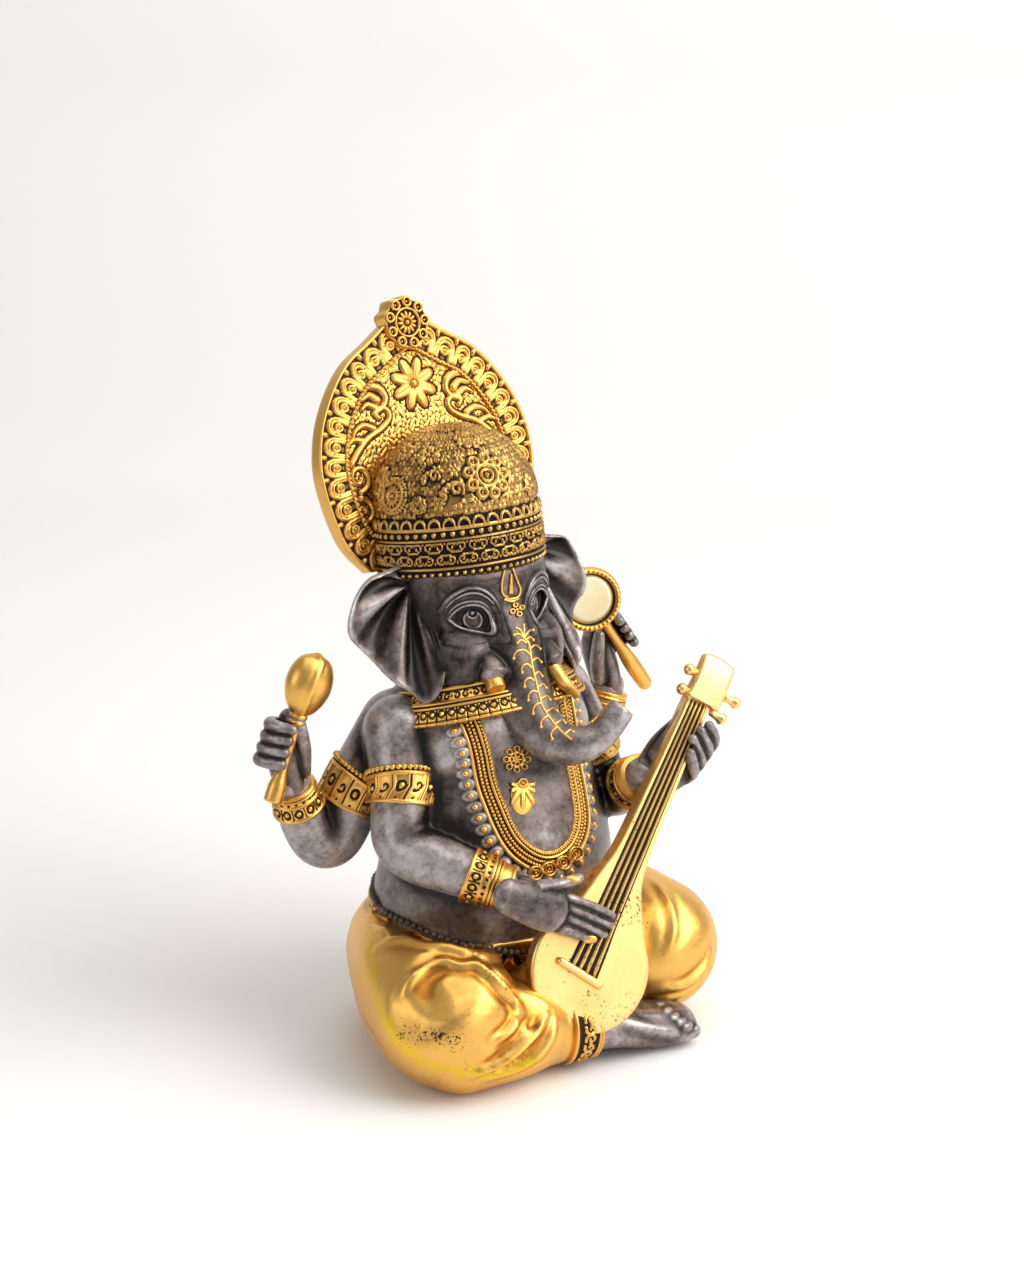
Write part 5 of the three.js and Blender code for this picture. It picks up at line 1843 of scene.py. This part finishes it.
def pendant_rule(x, y, scale):
    """A flower in a ring of loops, over a fan of leaves with a ringed dot at its root."""
    flower_x, flower_y = x - 515.5 / scale, y + 759 / scale
    palm_x, palm_y = x - 522 / scale, y + 795 / scale
    fan = petals(palm_x, palm_y - 2.6, 11, 0.6, 7.0, 0.75, turn=-math.pi / 2, groove=0.3) * (palm_y < 3.4)
    return highest(
        loops(flower_x, flower_y, 8, 2.9, 0.75, 0.3),
        hoop(flower_x, flower_y, 1.85, 0.34),
        0.9 * petals(flower_x, flower_y, 7, 0.4, 1.6, 0.4),
        1.1 * boss(flower_x, flower_y, 0.65),
        fan * (np.abs(palm_x) < 3.3),
        0.9 * hoop(palm_x, palm_y - 3.4, 1.1, 0.36),
        0.9 * boss(palm_x, palm_y - 3.4, 0.5),
        0.5 * boss(palm_x, (palm_y + 0.6) * 0.66, 3.4),
    )


def rosette_rule(x, y, scale):
    """Four ringed dots in a row."""
    height = np.zeros(len(x))
    for a, b in ((533, 871), (546, 867), (560, 861), (572, 852)):
        here = x - a / scale, y + b / scale
        height = highest(height, hoop(*here, 1.75, 0.42), 0.8 * hoop(*here, 0.95, 0.25), boss(*here, 0.5))
    return height


def forehead_rule(x, y, scale):
    """A three-pronged mark, drawn with tapered strokes, over a flower of four loops."""

    def drawn(half, taper, *places):
        line = np.array([(a / scale, -b / scale) for a, b in places])
        return stroke(x, y, smooth(line, np.linspace(0, 1, 14)), half, taper)

    flower_x, flower_y = x - 516.6 / scale, y + 609.8 / scale
    return highest(
        drawn(0.46, 0.3, (509, 599), (502.5, 594), (501, 585), (503.5, 571)),
        drawn(0.46, 0.3, (509, 599), (517, 597), (519.7, 589.5), (517, 582), (511.9, 568.6)),
        drawn(0.72, 0.5, (510.5, 592), (510.5, 584), (510.5, 575)),
        drawn(0.4, 0.3, (504, 599.5), (511, 601.5), (518, 598.5)),
        loops(flower_x, flower_y, 4, 1.37, 0.6, 0.3, turn=0.4),
        boss(flower_x, flower_y, 0.5),
    )


pendant = view_patch("pendant", body_surface, (494, 740, 545, 822), 0.75, pendant_rule, 0.9)
rosettes = view_patch("necklace_rosettes", body_surface, (524, 842, 582, 881), 0.7, rosette_rule, 1.9)
forehead_mark = view_patch("forehead_mark", head_surface, (496, 562, 528, 620), 0.5, forehead_rule, 0.45)

VINE = [(523.4, 637.5), (528.3, 644), (530.8, 658.5), (533, 671), (536.3, 684), (539, 695.4), (543, 707.7)]
VINE += [(552, 721), (562, 732), (572, 740)]
VINE_LEFT = [
    [(530, 655), (524, 650), (516, 652), (513.5, 658.5)],
    [(531.5, 668), (527, 664), (522, 667), (522, 672.6)],
    [(534, 681), (530, 678), (525, 681), (524.6, 686.8)],
    [(537, 692), (533, 691), (529, 694), (528.3, 700.3)],
    [(541, 703), (537, 704), (533.5, 708), (533, 713.8)],
    [(548, 716), (544, 718), (541, 722), (541, 727)],
    [(557, 727), (553, 730), (551, 734), (552, 739)],
    [(526, 643), (521, 640), (517.5, 643)],
    [(524, 639), (519, 634), (514, 635)],
    [(523.5, 638), (520, 630), (516, 628)],
    [(523.4, 638), (524, 630), (523.5, 625)],
    [(523.6, 638), (529, 631), (533, 630)],
]
VINE_RIGHT = [
    [(529, 650), (535, 645), (540, 649)],
    [(531, 662), (537, 658), (541, 662)],
    [(533.5, 675), (539, 672), (542, 676)],
    [(537, 688), (543, 684), (546, 688)],
    [(540, 699), (547, 696), (550, 700)],
    [(546, 712), (553, 708), (557, 711)],
    [(555, 724), (562, 720), (565, 723)],
    [(565, 734), (570, 730), (573, 732)],
    [(525, 641), (530, 637), (533, 640)],
]


def wire(name, line, start, end):
    """A raised gold line: a path with a round bevel that thins from its start to its end."""
    bpy.ops.curve.primitive_bezier_curve_add()
    path = bpy.context.object
    path.name = name
    points = path.data.splines[0].bezier_points
    points.add(len(line) - 2)
    for share, point, place in zip(np.linspace(0, 1, len(line)), points, line):
        point.co = Vector(place) * MM
        point.radius = start + (end - start) * share
    for point in points:
        point.handle_left_type = "AUTO"
        point.handle_right_type = "AUTO"
    path.data.bevel_depth = MM
    path.data.bevel_resolution = 2
    path.data.resolution_u = 3
    path.data.use_fill_caps = True
    path.data.dimensions = "3D"
    bpy.ops.object.convert(target="MESH")
    return bpy.context.object


vine = [wire("vine_stem", line_on(head_surface, VINE, 28), 0.52, 0.34)]
for places in (*VINE_LEFT, *VINE_RIGHT):
    vine.append(wire("vine_leaf", line_on(head_surface, places, 7), 0.42, 0.26))
    place, outward = seen(head_surface, *places[-1])
    vine.append(button(place, outward, 0.55, 0.5))
vine = joined("trunk_vine", vine)
keep_value(vine, "gilt", np.ones(len(vine.data.vertices)))
print("the vine has", 1 + 2 * (len(VINE_LEFT) + len(VINE_RIGHT)), "raised lines and dots")

# %% [markdown]
# ## Tusks
# The right tusk is a short stub and the left one is whole. Both are gold and come out of grey sheaths. The
# stub is turned, as on a lathe: a profile spun round an axis. The whole one is a limb that thins and bends.

# %% Model the tusks
def turned(name, profile, turned_axes, columns, rows, squeeze=1.0):
    """A profile of radius and height, spun round an axis."""
    line = even_line(profile, 200)

    def place(u, v):
        radius, height = on_profile(line, v)
        turn = 2 * math.pi * u
        return placed(turned_axes, radius * np.cos(turn), radius * np.sin(turn) * squeeze, height)

    return sheet(name, columns, rows, place)


STUB = axes((-9.5, -12.4, 107.6), (-1.7, -5.6, -5.2), (0, 0, 1))
STUB_PROFILE = [(0, -2), (2.5, -1.9), (2.6, 0), (2.6, 6.3), (2.35, 6.9), (1.2, 7.0), (0, 6.9)]
tusks = joined(
    "tusks",
    [
        turned("stub", STUB_PROFILE, STUB, 36, 40),
        limb("tusk", [[9, -13, 107, 2.7], [10.5, -18.5, 101.5, 2.2], [14, -20.8, 97.4, 1.1]], columns=30),
    ],
)

# %% [markdown]
# ## Waist and hem
# A row of dark beads lies round the waist. Its line is taken from the view on the side that shows, mirrored
# to the other side, and closed round the back on the outermost form. One bead is modelled, copied along the
# line and joined. A narrow gold band with rings is laid on the cloth under the beads, and the hem at the
# foot has a cuff made like the bands on the arms.

# %% Model the waist beads, the waistband and the cuff
BEAD_PITCH = 2.05
SEEN_WAIST = [
    (374, 893), (377, 900), (381.6, 907.7), (392, 914.7), (409, 922.5), (426.7, 930.3), (444, 937),
    (461, 942.4), (478.6, 945.5), (496, 948.5), (522, 951),
]
torso_form = rings("torso_form", TORSO)
forms = (surface_of(torso_form), cloth_surface)
bpy.data.objects.remove(torso_form)


def nearer(x, y):
    """The place of the torso or the cloth, whichever is nearer to the eye, at a place in the frame."""
    return max((seen(form, x, y)[0] for form in forms), key=lambda place: place @ towards_eye)


seen_side = np.array([nearer(x, y) for x, y in SEEN_WAIST])


def round_the_back(turn, height):
    """The outermost place of the torso or the cloth in a direction round the figure, at a height."""
    way = np.array([-math.cos(turn), math.sin(turn), 0])
    hits = [met(form, (0, 2, height) + way * 90, -way * 50)[0] for form in forms]
    return max(hits, key=lambda place: place @ way)


start_x, start_y, start_z = seen_side[0]
first_turn = math.atan2(start_y - 2, -start_x)
back_turns = np.linspace(first_turn + 0.2, math.pi - first_turn - 0.2, 15)
back = [round_the_back(turn, start_z) for turn in back_turns[::-1]]
other_side = (seen_side * (-1, 1, 1))[::-1]
waist_line = even_line([*seen_side, *other_side, *back], 900, closed=True)
waist_line = waist_line + 0.45 * unit((waist_line - (0, 2, 0)) * (1, 1, 0))
WAIST_BEADS = round(length_of(waist_line) / BEAD_PITCH)
waist_places = spread(waist_line, np.linspace(0, 1, WAIST_BEADS, endpoint=False))
waist = []
first_bead = button(waist_places[0], np.array([0, 0, 1.0]), 1.0, 1.0)
for place in waist_places:
    bead = first_bead.copy()
    bead.data = first_bead.data.copy()
    bpy.context.scene.collection.objects.link(bead)
    move_points(bead, points_of(bead) + (place - waist_places[0]))
    waist.append(bead)
bpy.data.objects.remove(first_bead)
waist = joined("waist_beads", waist)
# The waist beads are dark all over: their own colour, given by the same mark.
keep_value(waist, "ink", np.full(len(waist.data.vertices), 0.7))
WAISTBAND_WIDTH = 3.1


def under_beads(u, v):
    line = spread(waist_line, u) - (0, 0, 1) * (1.0 + WAISTBAND_WIDTH * v)[:, None]
    places, normals = zip(*(cloth_surface.find_nearest(Vector(place) * MM)[:2] for place in line))
    return np.array(places) / MM, np.array(normals)


waistband = laid_strip("waistband", 420, 12, under_beads, 0.6)
band_x = value_of(waistband, "u") * 210
band_y = value_of(waistband, "across") * WAISTBAND_WIDTH
band_height = highest(
    0.8 * ridge(band_y - 0.35, 0.35),
    0.8 * ridge(band_y - 2.8, 0.35),
    0.6 * hoop(folded(band_x, 4.0), band_y - 1.6, 0.75, 0.32),
)
band_shown = value_of(waistband, "shown") > 0.5
raise_relief(waistband, 0.5 * band_shown * (0.6 + band_height), 0.3 + 0.7 * band_height)


def cuff_rule(x, y, width):
    """Height and engraving of the cuff: paired scrolls between ridges."""
    cell = folded(x, 5.2)
    height = highest(
        stroke(np.abs(cell) - 1.3, y - 0.48 * width, curl(1.5, 1.1, 1, -2.0), 0.36, 0.2),
        boss(cell, y - 0.48 * width, 0.45),
        ridge(y - 0.5, 0.5),
        ridge(y - width + 0.5, 0.5),
        0.8 * ridge(y - width + 1.6, 0.3),
    )
    return height, 0.5 * (1 - np.clip(height * 2, 0, 1))


CUFF = [[-11, -39.6, 10.3, 9.8], [-5, -41, 9.9, 9.5], [1.4, -42, 9.3, 8.9]]
cuff = band("hem_cuff", CUFF, (0, 0, 1), 0.34, 0.98, 0.5, cuff_rule, 150, 34)
cut_flat(cuff)

# %% [markdown]
# ## Lute
# A pear-shaped body runs into a long neck with a squarish head and four pegs. The body is a sheet from the
# middle of its face to the outline and round to the back. The strings are raised lines on a dark strip that
# widens towards the bridge.

# %% Model the lute
BOWL, BOWL_X, BOWL_Y = 17.8, 2.2, 3.2
LUTE_DEPTH = 5.0
left_flank = even_line([(-3.5, 85), (-4.2, 60), (-5.1, 39), (-7.1, 28.9), (-9.7, 18.6), (-13.1, 12.3)], 60)
right_flank = even_line([(17.5, 12.3), (13.2, 18.5), (7.1, 28.9), (5.1, 39), (4.2, 60), (3.5, 85)], 60)
bowl_turns = np.linspace(math.pi - 0.54, 2 * math.pi + 0.54, 60)
bowl_line = np.stack([BOWL_X + BOWL * np.cos(bowl_turns), BOWL_Y + BOWL * np.sin(bowl_turns)], axis=-1)
lute_outline = np.concatenate([left_flank, bowl_line[1:-1], right_flank, left_flank[:1]])
LUTE_ROWS = [
    (0, 0, 0), (0.3, 0.93, 0), (0.4, 0.975, -0.1), (0.47, 0.995, -0.5), (0.54, 1, -1.1),
    (0.66, 1, -4.2), (0.74, 0.97, -5.4), (0.88, 0.7, -8.6), (1, 0, -10.6),
]


def lute_sheet(u, v):
    """Rows from the middle of the face to the outline and round to the back, which is deep at the bowl."""
    rows = np.array(LUTE_ROWS)
    keep = np.interp(v, rows[:, 0], rows[:, 1])
    depth = np.interp(v, rows[:, 0], rows[:, 2])
    outline = spread(lute_outline, u)
    bowl_share = np.clip(1 - np.clip(outline[:, 1] - BOWL_Y, 0, None) / (2.2 * BOWL), 0, 1)
    flat = (BOWL_X, BOWL_Y) + (outline - (BOWL_X, BOWL_Y)) * keep[:, None]
    depth = np.where(depth < -LUTE_DEPTH, -LUTE_DEPTH + (depth + LUTE_DEPTH) * bowl_share, depth)
    return placed(LUTE, flat[:, 0], flat[:, 1], depth)


lute_body = sheet("lute_body", 180, 44, lute_sheet)
STRINGS = (-0.72, -0.24, 0.24, 0.72)


def string_place(u, v):
    half = 5.0 + (2.7 - 5.0) * v**0.6
    points = placed(LUTE, (2 * u - 1) * half, 0.6 + v * (STRING_LENGTH - 0.8), 0.12)
    return points, np.broadcast_to(LUTE[3], (len(u), 3))


strip = laid_strip("strings", 90, 24, string_place, 0.5)
strip_across = 2 * value_of(strip, "u") - 1
string_height = highest(*(ridge(strip_across - middle, 0.12) for middle in STRINGS))
raise_relief(strip, 0.75 * string_height * value_of(strip, "shown"), 1.5 * string_height - 0.2)

BRIDGE_LINE = over_lute((561, 961, 0.7, 1.15), (580, 973, 0.8, 1.15), (599, 985.5, 0.7, 1.15))
bridge_bar = limb("bridge_bar", BRIDGE_LINE, face_way, columns=20)
HEAD_CORNERS = {(-1, 1): (709, 650), (1, 1): (738, 667), (1, -1): (719, 713), (-1, -1): (686, 697)}
bpy.ops.mesh.primitive_cube_add(size=2, location=(0, 0, 0))
lute_head = bpy.context.object
lute_head.name = "lute_head"
with editing(lute_head):
    bpy.ops.mesh.subdivide(number_cuts=3)
cube = points_of(lute_head) * MM
head_flat = np.zeros((len(cube), 2))
for (side, end), pixel in HEAD_CORNERS.items():
    share = (1 + side * cube[:, 0]) / 2 * (1 + end * cube[:, 1]) / 2
    head_flat += share[:, None] * np.array(seen_on_plane(LUTE, *pixel))
head_depth = 1.9 * cube[:, 2] - 1.5 - 1.6 * np.clip(cube[:, 1] - 0.4, 0, 1)
notched = head_flat[:, 1] - 0.8 * cube[:, 0] ** 2 * (cube[:, 1] > 0.9)
move_points(lute_head, placed(LUTE, head_flat[:, 0], notched, head_depth))
apply_modifier(lute_head, "BEVEL", width=1.3 * MM, segments=3, angle_limit=math.radians(50))
apply_modifier(lute_head, "SUBSURF", levels=1, render_levels=1)
keep_value(lute_head, "gilt", np.ones(len(lute_head.data.vertices)))
PEGS = [
    ((699, 674), (689.8, 669.5)),
    ((692, 694), (682.5, 689)),
    ((726, 698), (734.8, 702.8)),
    ((712, 713), (721, 718.8)),
]
pegs = []
for (x, y), (end_x, end_y) in PEGS:
    middle = ((x + end_x) / 2, (y + end_y) / 2, -1.6, 1.2)
    peg_line = over_lute((x, y, -1.6, 1.1), middle, (end_x, end_y, -1.6, 1.75))
    pegs.append(limb("peg", peg_line, columns=24))
nut_up = STRING_LENGTH - 0.6
nut = limb("nut", on_axes(LUTE, (-3.6, nut_up, 0.3, 0.7), (3.6, nut_up, 0.3, 0.7)), columns=16)
lute = joined("lute", [lute_body, lute_head, bridge_bar, nut, *pegs])
select_only(lute)
bpy.ops.object.shade_smooth()

# %% [markdown]
# ## Ladle and mirror
# Both are turned forms: a profile spun round an axis. The ladle's egg-shaped bowl has a rim ridge down one
# side, and the mirror's raised rim is beaded. The mirror's face is a disc of its own in a brighter paint.


# %% Model the ladle and the mirror
STEM_PROFILE = [
    (0, -0.8), (2.3, -0.6), (2.6, 0.6), (2.5, 4), (1.8, 7), (1.4, 10), (1.4, 20.2), (1.5, 21.2),
    (2.3, 21.6), (2.3, 22.4), (1.7, 22.8), (2.4, 23.3), (2.4, 24.1), (1.6, 24.8), (0, 25.4),
]
BOWL_PROFILE = [(0, 23.9), (2.8, 24.6), (5.2, 27.4), (6.6, 31), (6.8, 34.2), (5.9, 37.6), (3.9, 40.2)]
stem = turned("ladle_stem", STEM_PROFILE, LADLE, 30, 90)
bowl = turned("ladle_bowl", [*BOWL_PROFILE, (0, 41.6)], LADLE, 72, 50, 0.8)
bowl_x = (points_of(bowl) - LADLE[0]) @ LADLE[1]
bowl_h = (points_of(bowl) - LADLE[0]) @ LADLE[3]
rim_x = -2.2 + 0.03 * (bowl_h - 32) ** 2
raise_relief(bowl, 0.3 * ridge(bowl_x - rim_x, 0.9))
ladle = joined("ladle", [stem, bowl])

MIRROR = axes(MIRROR_CENTRE, (-0.42, -0.88, 0.1), -mirror_way)
MIRROR_PROFILE = [
    (0, -1.8), (5, -1.8), (8.6, -1.7), (9.4, -0.9), (9.6, 0.2), (9.1, 1.2), (8.3, 1.5), (7.7, 1.0),
    (7.4, 0.2), (4, 0.1), (0, 0.1),
]
RIM_RADIUS = 8.6
disc = turned("mirror_disc", MIRROR_PROFILE, MIRROR, 156, 54)
disc_points = points_of(disc) - MIRROR[0]
disc_x, disc_y, disc_z = (disc_points @ way for way in MIRROR[1:])
disc_reach = np.hypot(disc_x, disc_y)
rim_run = np.arctan2(disc_y, disc_x) * RIM_RADIUS
rim_beads = beads(rim_run, disc_reach - 8.5, RIM_RADIUS * 2 * math.pi / 38, 0.62) * (disc_z > 0.3)
raise_relief(disc, 0.5 * rim_beads, np.where(np.abs(disc_reach - 7.5) < 0.4, 0.25, 1))
GRIP_RADII = [(8.4, 1.5), (13, 1.4), (18, 1.5), (22.5, 2.0), (26, 2.35), (32, 2.35), (35, 2.2)]
handle = limb(
    "mirror_handle",
    [[*(MIRROR_CENTRE + mirror_way * distance), radius] for distance, radius in GRIP_RADII],
    flat=(-0.42, -0.88, 0.1),
    columns=32,
    rows=60,
)
mirror = joined("mirror", [disc, handle])
GLASS_PROFILE = [(0, -0.7), (6.8, -0.7), (7.3, -0.2), (7.2, 0.3), (4, 0.34), (0, 0.34)]
glass = turned("mirror_glass", GLASS_PROFILE, MIRROR, 64, 14)

# %% [markdown]
# ## Light and ground
# A white studio: a sweep of white paper under and behind the figure, soft lights from the upper right and
# from above, and weaker ones from the left and the front, so that a faint shadow falls to the left.

# %% Set the stage and the lights
SWEEP = [(-1.2, 0.0), (0.3, 0.0), (0.62, 0.02), (0.82, 0.14), (0.92, 0.4), (0.95, 1.6)]


def sweep(u, v):
    """Paper that lies flat under the figure and rises in a curve behind it."""
    run = smooth(SWEEP, v)
    side = (u - 0.5) * 4.0
    way = np.array([math.sin(VIEW_TURN), math.cos(VIEW_TURN)])
    across = np.array([math.cos(VIEW_TURN), -math.sin(VIEW_TURN)])
    flat = run[:, :1] * way + side[:, None] * across
    return np.stack([flat[:, 0], flat[:, 1], run[:, 1] - 0.0002], axis=-1) / MM


paper = sheet("paper_sweep", 8, 60, sweep)
paper_white = new_paint("paper_white")
paper_shader = Nodes(paper_white)
paper_shader.set("Base Color", (0.86, 0.845, 0.835, 1))
paper_shader.set("Roughness", 0.8)
paper.data.materials.append(paper_white)


def soft_light(name, turn, rise, distance, size, power, colour):
    """A square soft light that faces the figure from a direction given as in the view."""
    a, e = math.radians(turn), math.radians(rise)
    way = Vector((math.sin(a) * math.cos(e), -math.cos(a) * math.cos(e), math.sin(e)))
    target = Vector((0, 0, 0.09))
    bpy.ops.object.light_add(type="AREA", location=target + way * distance)
    light = bpy.context.object
    light.name = name
    light.rotation_mode = "QUATERNION"
    light.rotation_quaternion = (-way).to_track_quat("-Z", "Y")
    light.data.size = size
    light.data.energy = power
    light.data.color = colour
    return light


soft_light("key", 38, 36, 1.0, 0.8, 10.0, (1.0, 0.985, 0.96))
soft_light("fill", -95, 22, 1.1, 0.6, 1.8, (0.93, 0.95, 1.0))
soft_light("front", 8, 14, 1.3, 0.6, 2.0, (1.0, 0.985, 0.96))
soft_light("top", 60, 80, 1.1, 1.2, 7.0, (1.0, 0.99, 0.97))

world = bpy.data.worlds.new("white_room")
bpy.context.scene.world = world
world.use_nodes = True
background = world.node_tree.nodes["Background"]
background.inputs["Color"].default_value = (1.0, 0.985, 0.97, 1)
background.inputs["Strength"].default_value = 0.35
bpy.context.scene.view_settings.view_transform = "Standard"

# %% [markdown]
# ## Wear, and every piece set on the body
# What the forms can't say is dabbed on: shade between the folds, leaf rubbed yellow along the knee,
# scratches and specks over the lap. Then each piece gets the mark for the dry brush, its paint, and its place
# on the casting's one body. The mark reaches over more neighbours on a broad form than on a fine one.

# %% Dab on the wear and finish every piece
RUBBED_LINE = [(368, 938), (374, 980), (385, 1020), (408, 1052), (450, 1070), (500, 1074), (532, 1060)]
YELLOWED = [(x, y, 4.2, 0.72) for x, y in smooth(RUBBED_LINE, np.linspace(0, 1, 30))]
SCRATCHED = [
    (404, 1033, 3, 0.9), (420, 1035, 3, 1), (436, 1036, 3, 1), (453, 1038, 3, 0.9),
    (447, 1000, 2, 0.7), (462, 984, 2.5, 0.6), (695, 925, 3, 0.7), (702, 958, 3, 0.9),
    (668, 982, 3, 0.7), (372, 925, 3, 0.6),
]
CLOTH_SHADE = [
    (436, 973, 4, 0.8), (452, 984, 4, 0.8), (467, 976, 4, 0.7), (425, 990, 3, 0.6),
    (412, 1029, 4, 0.8), (434, 1033, 4, 0.8), (455, 1029, 4, 0.7), (474, 958, 4, 0.7),
    (496, 964, 4, 0.8), (515, 976, 4, 0.8), (390, 935, 6, 0.5), (512, 1008, 4, 0.5),
]
keep_value(cloth, "gilt", np.ones(len(cloth.data.vertices)))
for mark, spots in (("ink", CLOTH_SHADE), ("worn", YELLOWED), ("scratched", SCRATCHED)):
    keep_value(cloth, mark, dabs(cloth, cloth_surface, spots))
# The hands are a little darker all over, given by the same mark.
keep_value(hands, "ink", np.full(len(hands.data.vertices), 0.22))
GREY, ANTIQUE = (stone_grey, "stone_grey"), (antique_gold, "antique_gold")
LEAF, PALE, BRIGHT = ((paint, "gold_leaf") for paint in (gold_leaf, pale_gold, bright_gold))
FINISHES = [
    (body, GREY, 30, 0.5),
    (hands, GREY, 16, 0.25),
    (nails, LEAF, 3, 0.2),
    (foot, GREY, 16, 0.25),
    (head, GREY, 24, 0.35),
    (cloth, LEAF, 24, 0.4),
    *((eye_piece, GREY, 10, 0.15) for eye_piece in eyes),
    (band_piece, ANTIQUE, 8, 0.2),
    (dome, ANTIQUE, 8, 0.32),
    *((piece, LEAF, 8, 0.2) for piece in (halo, field, medallion, bands, collar, strap)),
    (cups, GREY, 3, 0.2),
    (pendant, LEAF, 4, 0.15),
    (rosettes, LEAF, 4, 0.15),
    (forehead_mark, LEAF, 2, 0.3),
    (vine, LEAF, 2, 0.6),
    (tusks, LEAF, 6, 0.4),
    (waist, GREY, 4, 0.3),
    (waistband, LEAF, 4, 0.2),
    (cuff, LEAF, 4, 0.2),
    (lute, PALE, 10, 0.4),
    (strip, PALE, 3, 0.6),
    (ladle, LEAF, 10, 0.4),
    (mirror, LEAF, 8, 0.3),
    (glass, BRIGHT, 3, 0.3),
]
for piece, (paint, slot), wear_rounds, wear_scale in FINISHES:
    finish_piece(piece, paint, wear_rounds, wear_scale)
keep_value(head, "stand", value_of(head, "stand") * np.clip(-from_edge / 2.5, 0, 1) ** 0.5)
for eye_piece in eyes:
    keep_value(eye_piece, "stand", value_of(eye_piece, "stand") * value_of(eye_piece, "calm"))
